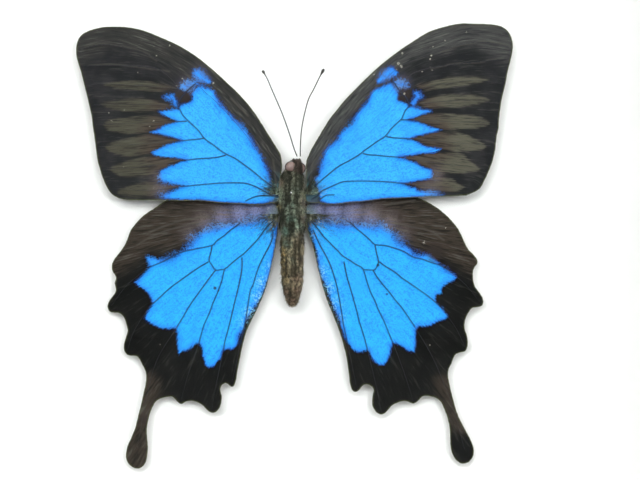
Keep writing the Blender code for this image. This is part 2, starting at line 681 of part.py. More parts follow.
def build_body(home, cutters, finish):
    """Thorax, abdomen, head and folded legs in one piece, with a hole for the pin."""
    body = add_object("body", body_mesh(THORAX, THORAX_DEPTH, THORAX_RISE, THORAX_RISE), home)
    abdomen = body_mesh(ringed(ABDOMEN, ABDOMEN_RINGS), 1.0, ABDOMEN_RISE, ABDOMEN_TIP_RISE)
    combine(body, abdomen, "UNION")
    combine(body, ball_mesh(place(*HEAD["place"], HEAD["rise"]), HEAD["size"]), "UNION")
    for eye in EYES:
        combine(body, ball_mesh(place(*eye["place"], eye["rise"]), (EYE_RADIUS,) * 3), "UNION")
    for spot in PALPS:
        combine(body, ball_mesh(place(*spot, PALP_RISE), PALP_SIZE, 8, 6), "UNION")
    coil_middle = place(*HEAD["place"], TONGUE_RISE)
    coil = [
        coil_middle + TONGUE_RADIUS * Vector((0, math.cos(a), math.sin(a) + 1))
        for a in (TONGUE_START + TONGUE_TURN * i / TONGUE_STEPS for i in range(TONGUE_STEPS + 1))
    ]
    combine(body, tube_mesh(coil, TONGUE_THICK), "UNION")
    for route in LEG_ROUTES:
        for side in (-1, 1):
            line = [place(BODY_MIDDLE_X + side * (BODY_MIDDLE_X - x), y, rise) for x, y, rise in route]
            combine(body, tube_mesh(line, LEG_RADIUS, 1, LEG_SWELL), "UNION")
    cut(body, pin_mesh(PIN_HOLE_RADIUS, PIN_FRONT_RISE + CUT_PAST, -CUT_PAST), cutters)
    body.data.materials.clear()
    body.data.materials.append(finish)


def pin_mesh(radius, front_rise, back_rise):
    """A rod along the pin's line."""
    return rod_mesh(place(*PIN_PLACE, front_rise), place(*PIN_PLACE, back_rise), radius)


def build_antenna(name, route, home, finish):
    """A hair-thin stalk that swells to a club at its end."""
    swell = [1.0] * (len(route) - len(CLUB_SWELL)) + list(CLUB_SWELL)
    add_object(name, tube_mesh([place(*point) for point in route], ANTENNA_RADIUS, 1, swell), home, finish)


def main():
    clear_scene()
    home = collection("framed_butterfly_specimen")
    cutters = collection("cutters")
    black_wood = material("black_stained_wood", (0.02, 0.018, 0.016), 0.45)
    clear_glass = material("clear_glass", (0.95, 0.98, 0.97), 0.02, transmission=1.0)
    white_paper = material("white_paper", (0.92, 0.91, 0.89), 0.85)
    white_board = material("white_board", (0.93, 0.92, 0.9), 0.9)
    hardboard = material("brown_hardboard", (0.24, 0.15, 0.08), 0.8)
    steel = material("zinc_plated_steel", (0.62, 0.62, 0.6), 0.35, metallic=1.0)
    bumper_felt = material("felt_pad", (0.09, 0.09, 0.09), 0.95)
    blue_scales = material("wing_scales", (0.04, 0.48, 0.95), 0.4)
    body_fur = material("body_fur", (0.1, 0.1, 0.07), 0.9)
    antenna_horn = material("antenna_horn", (0.06, 0.05, 0.045), 0.6)
    pin_steel = material("pin_steel", (0.7, 0.7, 0.7), 0.25, metallic=1.0)

    build_rails(home, cutters, black_wood)
    add_object("glass_pane", panel_mesh(GLASS_FRONT, GLASS_THICK), home, clear_glass)
    build_spacers(home, white_paper)
    board = add_object("mount_board", panel_mesh(BOARD_FRONT, BOARD_THICK), home, white_board)
    cut(board, pin_mesh(PIN_HOLE_RADIUS, CUT_PAST, -PIN_BOARD_DEPTH - GAP), cutters)
    add_object("backboard", panel_mesh(BACKBOARD_FRONT, BACKBOARD_THICK), home, hardboard)
    build_fixing_points(home, steel)
    build_hanger(home, steel)
    build_bumpers(home, bumper_felt)

    build_wing("forewing_left", LEFT_FOREWING, LEFT_FOREWING_VEINS, FOREWING_RISE, home, blue_scales)
    build_wing("forewing_right", RIGHT_FOREWING, RIGHT_FOREWING_VEINS, FOREWING_RISE, home, blue_scales)
    build_wing("hindwing_left", LEFT_HINDWING, LEFT_HINDWING_VEINS, HINDWING_RISE, home, blue_scales)
    build_wing("hindwing_right", RIGHT_HINDWING, RIGHT_HINDWING_VEINS, HINDWING_RISE, home, blue_scales)
    build_body(home, cutters, body_fur)
    build_antenna("antenna_left", LEFT_ANTENNA, home, antenna_horn)
    build_antenna("antenna_right", RIGHT_ANTENNA, home, antenna_horn)
    add_object("pin", pin_mesh(PIN_RADIUS, PIN_FRONT_RISE, -PIN_BOARD_DEPTH), home, pin_steel)


main()
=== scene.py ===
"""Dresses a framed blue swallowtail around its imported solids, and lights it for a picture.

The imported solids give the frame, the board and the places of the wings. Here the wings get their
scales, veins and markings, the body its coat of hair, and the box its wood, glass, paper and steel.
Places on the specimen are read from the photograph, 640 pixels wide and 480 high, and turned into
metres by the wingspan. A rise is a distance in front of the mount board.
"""

from __future__ import annotations

import json
import logging
import math
from contextlib import contextmanager
from dataclasses import dataclass, field, replace
from enum import Enum
from typing import Callable, Iterator, Sequence

import bmesh
import bpy
import numpy as np
from mathutils import Matrix, Vector

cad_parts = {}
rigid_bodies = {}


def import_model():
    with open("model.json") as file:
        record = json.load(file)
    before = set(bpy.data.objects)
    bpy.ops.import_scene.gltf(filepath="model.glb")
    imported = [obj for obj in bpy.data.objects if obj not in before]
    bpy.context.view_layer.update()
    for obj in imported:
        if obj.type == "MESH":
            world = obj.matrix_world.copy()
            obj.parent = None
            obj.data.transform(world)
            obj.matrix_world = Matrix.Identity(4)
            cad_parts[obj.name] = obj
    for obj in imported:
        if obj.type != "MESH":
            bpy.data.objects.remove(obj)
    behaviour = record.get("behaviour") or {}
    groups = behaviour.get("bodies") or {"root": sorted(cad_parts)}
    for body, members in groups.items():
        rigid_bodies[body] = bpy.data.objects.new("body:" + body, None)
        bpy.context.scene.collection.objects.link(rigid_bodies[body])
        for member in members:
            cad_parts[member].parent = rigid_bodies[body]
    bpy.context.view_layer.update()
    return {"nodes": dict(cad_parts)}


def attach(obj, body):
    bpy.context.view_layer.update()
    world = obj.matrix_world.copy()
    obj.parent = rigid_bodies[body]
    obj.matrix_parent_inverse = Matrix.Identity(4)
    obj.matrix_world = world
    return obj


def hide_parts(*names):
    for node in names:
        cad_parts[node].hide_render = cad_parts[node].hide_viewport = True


LOG = logging.getLogger("framed_swallowtail")
MM = 0.001
BODY = "root"
WELD = 1e-6
FLAT_ANGLE = math.radians(0.5)
SHARP_ANGLE = math.radians(35)
ROUND_ANGLE = math.radians(60)
STRAIGHT_TURN = math.sin(math.radians(1.5))
NEAR_ZERO = 1e-12
LATTICE = 256
HUES = ("teal", "gold", "rose")

Pair = tuple[float, float]
Triple = tuple[float, float, float]
Color = Triple
Points = Sequence[Pair]
Spots = Sequence[tuple[float, float, float, float]]


# Helpers for pieces

def select_only(*pieces: bpy.types.Object) -> None:
    """Selects these pieces and nothing else, with the first one active.

    Args:
        pieces: the objects to select.
    """
    for other in bpy.data.objects:
        other.select_set(False)
    for piece in pieces:
        piece.select_set(True)
    bpy.context.view_layer.objects.active = pieces[0]


def placed(name: str, data: bpy.types.ID) -> bpy.types.Object:
    """Puts a new object with this data in the scene."""
    piece = bpy.data.objects.new(name, data)
    bpy.context.scene.collection.objects.link(piece)
    return piece


@contextmanager
def editing(piece: bpy.types.Object) -> Iterator[None]:
    """Opens a piece in edit mode with nothing in it selected.

    Args:
        piece: the mesh object to edit.
    """
    select_only(piece)
    bpy.ops.object.mode_set(mode="EDIT")
    bpy.ops.mesh.select_mode(type="VERT")
    bpy.ops.mesh.select_all(action="DESELECT")
    yield
    bpy.ops.object.mode_set(mode="OBJECT")


def pick(piece: bpy.types.Object, test: Callable[[Vector], bool]) -> None:
    """Selects the corners of an edited piece whose places pass a test.

    Args:
        piece: the mesh object, in edit mode.
        test: says whether a place is wanted.
    """
    shape = bmesh.from_edit_mesh(piece.data)
    for vertex in shape.verts:
        vertex.select_set(test(vertex.co))
    shape.select_flush(True)
    bmesh.update_edit_mesh(piece.data)


def named(name: str) -> bpy.types.Object:
    """Names the active object and its mesh, and puts its place in its mesh."""
    piece = bpy.context.object
    piece.name = name
    piece.data.name = name
    select_only(piece)
    bpy.ops.object.transform_apply(location=True, rotation=True, scale=True)
    return piece


def finish_modifiers(piece: bpy.types.Object) -> None:
    """Applies a piece's modifiers in order."""
    select_only(piece)
    for step in list(piece.modifiers):
        bpy.ops.object.modifier_apply(modifier=step.name)


def join(name: str, pieces: Sequence[bpy.types.Object]) -> bpy.types.Object:
    """Joins pieces into the first one.

    Args:
        name: the joined piece's name.
        pieces: the mesh objects to join.

    Returns:
        The joined object.
    """
    select_only(*pieces)
    bpy.ops.object.join()
    return named(name)


def rounded_copy(source: bpy.types.Object, name: str, width: float,
                 smooth: bool = True) -> bpy.types.Object:
    """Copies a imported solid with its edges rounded, to stand in its place.

    Args:
        source: the solid.
        name: the new piece's name.
        width: how wide the rounding is.
        smooth: whether the rounding is shaded smooth, with the flat faces kept flat.

    Returns:
        The new piece, which replaces the solid.
    """
    piece = placed(name, source.data.copy())
    piece.data.materials.clear()
    with editing(piece):
        bpy.ops.mesh.select_all(action="SELECT")
        bpy.ops.mesh.remove_doubles(threshold=WELD)
        bpy.ops.mesh.dissolve_limited(angle_limit=FLAT_ANGLE)
    bevel = piece.modifiers.new("round", "BEVEL")
    bevel.width = width
    bevel.segments = 2
    bevel.limit_method = "ANGLE"
    bevel.angle_limit = SHARP_ANGLE
    finish_modifiers(piece)
    if smooth:
        select_only(piece)
        bpy.ops.object.shade_smooth_by_angle(angle=SHARP_ANGLE)
        even = piece.modifiers.new("even", "WEIGHTED_NORMAL")
        even.weight = 100
        even.keep_sharp = True
        finish_modifiers(piece)
    return piece


def tubes(name: str, lines: Sequence[Sequence[Vector]], radius: float,
          swell: Callable[[float], float], sides: int = 2) -> bpy.types.Object:
    """Makes round tubes along lines, as one closed mesh each in one object.

    Args:
        name: the object's name.
        lines: the middle line of each tube.
        radius: the radius where swell is 1.
        swell: the share of the radius at a share of a tube's length.
        sides: the curve's bevel resolution.

    Returns:
        The mesh object.
    """
    curve = bpy.data.curves.new(name, "CURVE")
    curve.dimensions = "3D"
    curve.bevel_depth = radius
    curve.bevel_resolution = sides
    curve.use_fill_caps = True
    for line in lines:
        spline = curve.splines.new("POLY")
        spline.points.add(len(line) - 1)
        for i, (knot, point) in enumerate(zip(spline.points, line)):
            knot.co = (*point, 1)
            knot.radius = swell(i / (len(line) - 1))
    select_only(placed(name, curve))
    bpy.ops.object.convert(target="MESH")
    piece = named(name)
    with editing(piece):
        bpy.ops.mesh.select_all(action="SELECT")
        bpy.ops.mesh.remove_doubles(threshold=WELD)
        bpy.ops.mesh.normals_make_consistent(inside=False)
    bpy.ops.object.shade_smooth_by_angle(angle=ROUND_ANGLE)
    return piece


def smooth_line(points: np.ndarray, closed: bool, steps: int) -> np.ndarray:
    """Runs a smooth curve through points.

    Args:
        points: one row for each point.
        closed: whether the last point joins the first.
        steps: how many pieces each stretch between two points is cut into.

    Returns:
        The points of the curve, one row each.
    """
    count = len(points)
    if closed:
        before, after, beyond = np.roll(points, 1, 0), np.roll(points, -1, 0), np.roll(points, -2, 0)
        start, last = points, count
    else:
        padded = np.vstack([2 * points[0] - points[1], points, 2 * points[-1] - points[-2]])
        before, start, after, beyond = padded[:-3], padded[1:-2], padded[2:-1], padded[3:]
        last = count - 1
    out = []
    for i in range(last):
        for j in range(steps):
            t = j / steps
            out.append(0.5 * (
                2 * start[i]
                + (after[i] - before[i]) * t
                + (2 * before[i] - 5 * start[i] + 4 * after[i] - beyond[i]) * t ** 2
                + (3 * start[i] - before[i] - 3 * after[i] + beyond[i]) * t ** 3
            ))
    if not closed:
        out.append(points[-1])
    return np.array(out)


def line_field(places: np.ndarray, line: np.ndarray) -> tuple[np.ndarray, np.ndarray]:
    """Measures places against a line.

    Args:
        places: (x, z) rows.
        line: the line's points, in the same units.

    Returns:
        Each place's distance to the line, and its side of it, 1 for left and -1 for right.
    """
    gap = np.full(len(places), np.inf)
    side = np.ones(len(places))
    for start, end in zip(line[:-1], line[1:]):
        step = end - start
        share = np.clip(((places - start) @ step) / max(step @ step, NEAR_ZERO), 0, 1)
        away = places - start - share[:, None] * step
        here = np.hypot(*away.T)
        closer = here < gap
        gap[closer] = here[closer]
        side[closer] = np.where(step[0] * away[closer, 1] - step[1] * away[closer, 0] >= 0, 1, -1)
    return gap, side


def inside_field(places: np.ndarray, outline: np.ndarray) -> np.ndarray:
    """Measures how far flat places are inside an outline, below 0 when outside.

    Args:
        places: one row for each place.
        outline: one row for each corner of the closed outline.

    Returns:
        The distance for each place.
    """
    ring = np.vstack([outline, outline[:1]])
    gap = line_field(places, ring)[0]
    inside = np.zeros(len(places), bool)
    x, z = places[:, 0], places[:, 1]
    for (x0, z0), (x1, z1) in zip(ring[:-1], ring[1:]):
        if z0 == z1:
            continue
        crosses = (z0 > z) != (z1 > z)
        inside ^= crosses & (x < (x1 - x0) * (z - z0) / (z1 - z0) + x0)
    return np.where(inside, gap, -gap)


def value_noise(places: np.ndarray, wide: float, long: float, seed: int) -> np.ndarray:
    """Smooth noise about 0 over x and z.

    Args:
        places: one (x, y, z) row each, in metres.
        wide: the size of a patch along x.
        long: its size along z.
        seed: the random seed.

    Returns:
        One value each, from -0.5 to 0.5.
    """
    lattice = np.random.default_rng(seed).random((LATTICE, LATTICE)) - 0.5
    u, v = places[:, 0] / wide + LATTICE / 2, places[:, 2] / long
    column, row = (np.floor(count).astype(int) % (LATTICE - 1) for count in (u, v))
    u, v = u % 1, v % 1
    u, v = u * u * (3 - 2 * u), v * v * (3 - 2 * v)
    low = lattice[column, row] * (1 - u) + lattice[column + 1, row] * u
    high = lattice[column, row + 1] * (1 - u) + lattice[column + 1, row + 1] * u
    return low * (1 - v) + high * v


def set_field(piece: bpy.types.Object, name: str, values: np.ndarray) -> None:
    """Stores one number for each corner of a mesh, for its material to read.

    Args:
        piece: the mesh object.
        name: the attribute's name.
        values: one number for each vertex.
    """
    attribute = piece.data.attributes.new(name, "FLOAT", "POINT")
    attribute.data.foreach_set("value", np.ascontiguousarray(values, np.float32))


def vertex_places(piece: bpy.types.Object) -> np.ndarray:
    """The places of a mesh's vertices, one row each."""
    flat = np.zeros(len(piece.data.vertices) * 3)
    piece.data.vertices.foreach_get("co", flat)
    return flat.reshape(-1, 3)


def set_places(piece: bpy.types.Object, places: np.ndarray) -> None:
    """Moves a mesh's vertices to these places, one row each."""
    piece.data.vertices.foreach_set("co", np.ascontiguousarray(places, float).ravel())
    piece.data.update()


# Helpers for finishes

@dataclass(frozen=True)
class Value:
    """An output of a shader node, which adds, subtracts, multiplies and divides as a number does."""

    graph: Graph
    socket: bpy.types.NodeSocket

    def __getitem__(self, name: str | int) -> Value:
        """Another output of the same node."""
        return Value(self.graph, self.socket.node.outputs[name])

    def __add__(self, other: Value | float) -> Value:
        """Adds a value."""
        return self.graph.math("ADD", self, other)

    def __sub__(self, other: Value | float) -> Value:
        """Takes a value away."""
        return self.graph.math("SUBTRACT", self, other)

    def __rsub__(self, other: float) -> Value:
        """Is taken away from a number."""
        return self.graph.math("SUBTRACT", other, self)

    def __mul__(self, other: Value | float) -> Value:
        """Multiplies by a value."""
        return self.graph.math("MULTIPLY", self, other)

    def __truediv__(self, other: Value | float) -> Value:
        """Divides by a value."""
        return self.graph.math("DIVIDE", self, other)

    def __rtruediv__(self, other: float) -> Value:
        """Divides a number."""
        return self.graph.math("DIVIDE", other, self)


@dataclass(frozen=True)
class Graph:
    """Adds nodes to the shader tree of a material or a group, and wires them."""

    tree: bpy.types.NodeTree

    def feed(self, socket: bpy.types.NodeSocket, value: object) -> None:
        """Links a socket to a node's output, or gives it a plain value."""
        if isinstance(value, Value):
            self.tree.links.new(value.socket, socket)
        else:
            socket.default_value = value

    def add(self, kind: str, inputs: dict | None = None, output: str | int = 0, **settings: object) -> Value:
        """Adds a node.

        Args:
            kind: the node's type.
            inputs: values for its inputs, by name or number.
            output: the name or number of the output to return.
            settings: the node's own settings.

        Returns:
            The output.
        """
        node = self.tree.nodes.new(kind)
        for name, value in settings.items():
            setattr(node, name, value)
        for name, value in (inputs or {}).items():
            self.feed(node.inputs[name], value)
        return Value(self, node.outputs[output])

    def math(self, operation: str, *values: Value | float, clamp: bool = False) -> Value:
        """Adds a Math node."""
        return self.add("ShaderNodeMath", dict(enumerate(values)), operation=operation, use_clamp=clamp)

    def step(self, value: Value, low: float, high: float) -> Value:
        """Rises smoothly from 0 to 1 as a value goes from low to high."""
        inputs = {"Value": value, "From Min": low, "From Max": high}
        return self.add("ShaderNodeMapRange", inputs, "Result", interpolation_type="SMOOTHSTEP")

    def mix(self, factor: Value | float, a: Value | Color, b: Value | Color) -> Value:
        """Mixes two colours."""
        first, second = (color if isinstance(color, Value) else (*color, 1) for color in (a, b))
        return self.add("ShaderNodeMix", {0: factor, 6: first, 7: second}, 2, data_type="RGBA")

    def ramp(self, value: Value, stops: Sequence[tuple[float, Color]]) -> Value:
        """Turns a number into a colour by stops of (place, colour)."""
        color = self.add("ShaderNodeValToRGB", {"Fac": value}, "Color")
        elements = color.socket.node.color_ramp.elements
        while len(elements) < len(stops):
            elements.new(0.5)
        for element, (place, stop) in zip(elements, stops):
            element.position = place
            element.color = (*stop, 1)
        return color

    def coords(self) -> Value:
        """The place on the object, in metres."""
        return self.add("ShaderNodeTexCoord", output="Object")

    def stretch(self, vector: Value, scale: Triple) -> Value:
        """Scales a vector along each axis."""
        return self.add("ShaderNodeMapping", {"Vector": vector, "Scale": scale}, "Vector")

    def noise(self, vector: Value, scale: Value | float, detail: float, rough: float) -> Value:
        """Adds a Noise texture."""
        inputs = {"Vector": vector, "Scale": scale, "Detail": detail, "Roughness": rough, "Distortion": 0.0}
        return self.add("ShaderNodeTexNoise", inputs, "Fac")

    def field(self, name: str) -> Value:
        """Reads a number stored on the mesh."""
        return self.add("ShaderNodeAttribute", output="Fac", attribute_name=name)

    def bump(self, height: Value, distance: float, strength: float) -> Value:
        """Tilts the surface by a height and returns the normal."""
        inputs = {"Height": height, "Distance": distance, "Strength": strength}
        return self.add("ShaderNodeBump", inputs, "Normal")


Effect = Callable[[Graph, dict[str, Value]], dict[str, Value]]
CLOUD_SCALE = 0.08


def scale_rows(graph: Graph, given: dict[str, Value]) -> dict[str, Value]:
    """Overlapping scales: a random tone for each one and the height of its rounded edge."""
    inputs = {"Vector": given["Vector"], "Scale": 1.0 / given["Size"]}
    cells = graph.add("ShaderNodeTexVoronoi", inputs, "Color")
    return {"Tone": graph.add("ShaderNodeSeparateColor", {"Color": cells}), "Height": 1.0 - cells["Distance"]}


def fine_grain(graph: Graph, given: dict[str, Value]) -> dict[str, Value]:
    """Fine grain and soft clouds, as on paper, board and felt."""
    return {
        "Grain": graph.noise(given["Vector"], 1.0 / given["Size"], 4, 0.65),
        "Cloud": graph.noise(given["Vector"], CLOUD_SCALE / given["Size"], 3, 0.5),
    }


def streaked(graph: Graph, given: dict[str, Value]) -> dict[str, Value]:
    """Noise drawn out one way, as fibres, hair and brushed metal are."""
    lattice = graph.add("ShaderNodeCombineXYZ", {
        "X": given["Along"] / given["Length"], "Y": given["Across"] / given["Width"], "Z": 0.0,
    })
    return {"Streak": graph.noise(lattice, 1.0, 3, 0.6)}


@dataclass
class Effects:
    """Shader groups that several finishes share, each built once."""

    built: dict[str, bpy.types.NodeTree] = field(default_factory=dict)

    def place(self, graph: Graph, effect: Effect, inputs: dict[str, object]) -> Value:
        """Places a shared group in a material.

        Args:
            graph: the material's graph.
            effect: the function that adds the group's nodes and returns its outputs by name.
            inputs: values for the group's inputs: "Vector" is a vector, the others are numbers.

        Returns:
            The first output.
        """
        if effect.__name__ not in self.built:
            self.built[effect.__name__] = self.group(effect, list(inputs))
        return graph.add("ShaderNodeGroup", inputs, node_tree=self.built[effect.__name__])

    def group(self, effect: Effect, labels: Sequence[str]) -> bpy.types.NodeTree:
        """Builds a group from its effect and the names of its inputs."""
        tree = bpy.data.node_groups.new(effect.__name__, "ShaderNodeTree")
        for label in labels:
            kind = "NodeSocketVector" if label == "Vector" else "NodeSocketFloat"
            tree.interface.new_socket(name=label, in_out="INPUT", socket_type=kind)
        graph, entry = Graph(tree), tree.nodes.new("NodeGroupInput")
        outputs = effect(graph, {label: Value(graph, entry.outputs[label]) for label in labels})
        for label in outputs:
            tree.interface.new_socket(name=label, in_out="OUTPUT", socket_type="NodeSocketFloat")
        leave = tree.nodes.new("NodeGroupOutput")
        for label, value in outputs.items():
            graph.feed(leave.inputs[label], value)
        return tree


@dataclass(frozen=True)
class Finish:
    """A material. Each kind of finish says what its shader is fed."""

    name: str

    def surface(self, graph: Graph, effects: Effects) -> dict[str, object]:
        """Values for the inputs of the Principled shader, by name."""
        raise NotImplementedError

    def build(self, effects: Effects) -> bpy.types.Material:
        """Builds the material.

        Args:
            effects: the shared shader groups.

        Returns:
            The material.
        """
        made = bpy.data.materials.new(self.name)
        made.use_nodes = True
        graph = Graph(made.node_tree)
        for name, value in self.surface(graph, effects).items():
            graph.feed(made.node_tree.nodes["Principled BSDF"].inputs[name], value)
        return made


@dataclass(frozen=True)
class WingFinish(Finish):
    """The scales of a wing's upper side.

    The mesh stores, in millimetres, how far inside the blue patch, the brown rays, the dull field and
    the margin a place is, its distance from the wing's root, and how far round the root it lies. Soft,
    haze, frost, worn, blotch, rib and rib_pale are shares of 1. An edge is a pair: where a mark starts
    and where it is full. A cover is how much a full mark hides of what is under it.
    """

    ground: Color
    ground_deep: Color
    ray_brown: Color
    ray_rust: Color
    field_brown: Color
    streak_light: float = 0.5
    blue_rim: Color = (0.012, 0.035, 0.17)
    blue_deep: Color = (0.02, 0.17, 0.66)
    blue_mid: Color = (0.02, 0.3, 0.84)
    blue_bright: Color = (0.034, 0.405, 0.91)
    blue_mist: Color = (0.09, 0.25, 0.58)
    mottle: float = 0.7
    comb: float = 1.5
    root_reach: float = 6.0
    root_teal: Color = (0.06, 0.15, 0.18)
    root_dark: Color = (0.02, 0.03, 0.035)
    haze: Color = (0.17, 0.19, 0.36)
    haze_far: Color = (0.19, 0.15, 0.15)
    frost: Color = (0.26, 0.62, 0.78)
    margin: Color = (0.085, 0.09, 0.04)
    rib_dark: Color = (0.006, 0.02, 0.06)
    rib_pale: Color = (0.08, 0.073, 0.06)
    pale_line: Color = (0.14, 0.14, 0.12)
    bare: Color = (0.5, 0.47, 0.39)
    blot: Color = (0.028, 0.02, 0.017)
    scale_size: float = 0.15 * MM
    flake_size: float = 0.26 * MM
    strand_size: Pair = (3.4, 0.3)
    broad_size: Pair = (9.0, 0.9)
    cover: float = 0.85
    frost_edge: Pair = (0.55, 0.75)
    teal_edge: Pair = (0.5, 0.66)
    dark_edge: Pair = (0.5, 0.4)
    blot_edge: Pair = (0.3, 0.65)
    margin_edge: Pair = (0.42, 0.2)
    margin_cover: float = 0.75
    worn_edge: Pair = (0.6, 0.85)
    blue_thinning: float = 2.1
    blue_stops: tuple[float, float, float, float] = (0.0, 0.13, 0.34, 1.0)
    blue_depth: Pair = (-0.3, 3.0)
    ripple_edge: Pair = (0.52, 0.39)
    cloud_edge: Pair = (0.45, 0.7)
    cloud_cover: float = 0.3
    field_edge: Pair = (-1.6, 2.4)
    ray_edge: Pair = (-0.25, 0.55)
    ray_cover: float = 0.92
    rust_edge: Pair = (-4.5, -0.3)
    furrow_edge: Pair = (0.52, 0.4)
    furrow_cover: float = 0.7
    line_edge: Pair = (0.53, 0.64)

    def surface(self, graph: Graph, effects: Effects) -> dict[str, object]:
        """Values for the inputs of the Principled shader, by name."""
        place = graph.coords()
        lie = {"Along": graph.field("root"), "Across": graph.field("fan")}
        scales = effects.place(graph, scale_rows, {"Vector": place, "Size": self.scale_size})
        flakes = effects.place(graph, scale_rows, {"Vector": place, "Size": self.flake_size})
        strands, broad = (
            effects.place(graph, streaked, {**lie, "Length": length, "Width": width})
            for length, width in (self.strand_size, self.broad_size)
        )
        fur = (strands + broad) * 0.5
        cloud = graph.noise(place, 160, 3, 0.55)

        blue_mask, blue = self.blue_scales(graph, flakes, strands, broad, cloud)
        hue = graph.mix(blue_mask, self.dark_scales(graph, flakes, strands, fur, cloud), blue)
        hue = graph.mix(graph.field("frost") * graph.step(flakes, *self.frost_edge), hue, self.frost)
        near_root = graph.step(graph.field("root"), self.root_reach, 0.5)
        hue = graph.mix(near_root * graph.step(fur + near_root * 0.12, *self.teal_edge), hue, self.root_teal)
        hue = graph.mix(near_root * graph.step(fur, *self.dark_edge), hue, self.root_dark)
        blotch = graph.field("blotch") + (strands - 0.5) * 0.6
        hue = graph.mix(graph.step(blotch, *self.blot_edge) * self.cover, hue, self.blot)
        rim = graph.step(graph.field("margin") + scales * 0.15, *self.margin_edge)
        hue = graph.mix(rim * self.margin_cover, hue, self.margin)
        rib = graph.mix(graph.field("rib_pale"), self.rib_dark, self.rib_pale)
        hue = graph.mix(graph.field("rib") * self.cover, hue, rib)
        worn = graph.field("worn") + (scales - 0.5) * 0.7
        hue = graph.mix(graph.step(worn, *self.worn_edge) * self.cover, hue, self.bare)
        return {
            "Base Color": hue,
            "Roughness": 0.62 - blue_mask * 0.2,
            "Normal": graph.bump(scales["Height"] * 0.5 + fur, 0.06 * MM, 0.7),
            "Specular IOR Level": 0.1,
        }

    def blue_scales(self, graph: Graph, flakes: Value, strands: Value, broad: Value,
                    cloud: Value) -> tuple[Value, Value]:
        """The blue patch, which thins out into single scales where the mesh says that its edge is soft.

        Args:
            graph: the material's graph.
            flakes: a random tone for each small group of scales.
            strands: fine streaks that fan out from the root.
            broad: broad streaks.
            cloud: soft large noise.

        Returns:
            How blue each place is, and its blue.
        """
        soft = graph.field("soft")
        depth = graph.field("blue") + (strands - 0.5) * self.comb
        share = depth / (soft * 0.75 + 0.08) + (flakes - 0.5) * self.blue_thinning
        share = share / (soft * 0.65 + 0.2)
        blues = (self.blue_rim, self.blue_deep, self.blue_mid, self.blue_bright)
        stops = list(zip(self.blue_stops, blues))
        hue = graph.ramp(graph.step(depth / (soft + 0.35), *self.blue_depth), stops)
        ripple = strands * 0.5 + broad * 0.25 + flakes * 0.25
        hue = graph.mix(graph.step(ripple, *self.ripple_edge) * self.mottle, hue, self.blue_deep)
        hue = graph.mix(graph.step(cloud, *self.cloud_edge) * self.cloud_cover, hue, self.blue_mid)
        misty = graph.step(graph.field("haze"), 0.0, 0.5) * graph.step(depth, 1.6, 0.0)
        hue = graph.mix(misty * self.cover, hue, self.blue_mist)
        return graph.step(share, -1.0, 1.0), hue

    def dark_scales(self, graph: Graph, flakes: Value, strands: Value, fur: Value, cloud: Value) -> Value:
        """The dark ground with its brown rays, dull field, streaks and haze of blue scales.

        Args:
            graph: the material's graph.
            flakes: a random tone for each small group of scales.
            strands: fine streaks that fan out from the root.
            fur: fine and broad streaks together.
            cloud: soft large noise.

        Returns:
            Its colour.
        """
        ground = graph.mix(graph.step(cloud, 0.4, 0.65), self.ground_deep, self.ground)
        dull = graph.step(graph.field("field") + strands * 1.2, *self.field_edge)
        ground = graph.mix(dull, ground, self.field_brown)
        ray = graph.step(graph.field("ray") + (strands - 0.5) * 1.6, *self.ray_edge)
        ray_hue = graph.mix(graph.step(graph.field("blue"), *self.rust_edge), self.ray_brown, self.ray_rust)
        ground = graph.mix(ray * self.ray_cover, ground, ray_hue)
        furrow = graph.step(fur, *self.furrow_edge)
        ground = graph.mix(furrow * self.furrow_cover, ground, self.ground_deep)
        light = (dull * 0.65 + 0.35) * graph.step(fur, *self.line_edge)
        ground = graph.mix(light * self.streak_light, ground, self.pale_line)
        haze = graph.field("haze") * graph.step(flakes, -0.8, 0.8)
        warm = graph.step(graph.field("root"), 9.0, 20.0) + graph.step(fur, 0.48, 0.6)
        by_blue = graph.step(graph.field("blue"), -3.2, -0.4)
        warm = graph.math("SUBTRACT", warm, by_blue * 0.6, clamp=True)
        return graph.mix(haze, ground, graph.mix(warm, self.haze, self.haze_far))


@dataclass(frozen=True)
class UndersideFinish(Finish):
    """The dull brown scales of a wing's lower side."""

    name: str = "wing_underside"
    brown: Color = (0.06, 0.045, 0.03)
    pale: Color = (0.13, 0.105, 0.07)
    scale_size: float = 0.2 * MM
    strand_length: float = 4.0
    strand_width: float = 0.4

    def surface(self, graph: Graph, effects: Effects) -> dict[str, object]:
        """Values for the inputs of the Principled shader, by name."""
        scales = effects.place(graph, scale_rows, {"Vector": graph.coords(), "Size": self.scale_size})
        strands = effects.place(graph, streaked, {
            "Along": graph.field("root"), "Across": graph.field("fan"),
            "Length": self.strand_length, "Width": self.strand_width,
        })
        tone = (scales + strands) * 0.5
        return {
            "Base Color": graph.mix(graph.step(tone, 0.3, 0.8), self.brown, self.pale),
            "Normal": graph.bump(scales["Height"], 0.04 * MM, 0.6),
            "Roughness": 0.75,
        }


@dataclass(frozen=True)
class GrainFinish(Finish):
    """A matte finish with fine and cloudy grain: paper, board, hardboard, felt or a floor."""

    dark: Color
    light: Color
    size: float
    roughness: float = 0.85
    depth: float = 0.02 * MM
    stretch: Triple = (1, 1, 1)

    def surface(self, graph: Graph, effects: Effects) -> dict[str, object]:
        """Values for the inputs of the Principled shader, by name."""
        place = graph.stretch(graph.coords(), self.stretch)
        grain = effects.place(graph, fine_grain, {"Vector": place, "Size": self.size})
        tone = grain + grain["Cloud"] * 0.6
        return {
            "Base Color": graph.mix(graph.step(tone, 0.5, 1.1), self.dark, self.light),
            "Normal": graph.bump(grain, self.depth, 0.7),
            "Roughness": self.roughness,
            "Specular IOR Level": 0.25,
        }


class Direction(Enum):
    """Which way a length of wood runs."""

    ACROSS = "across"
    UPRIGHT = "upright"


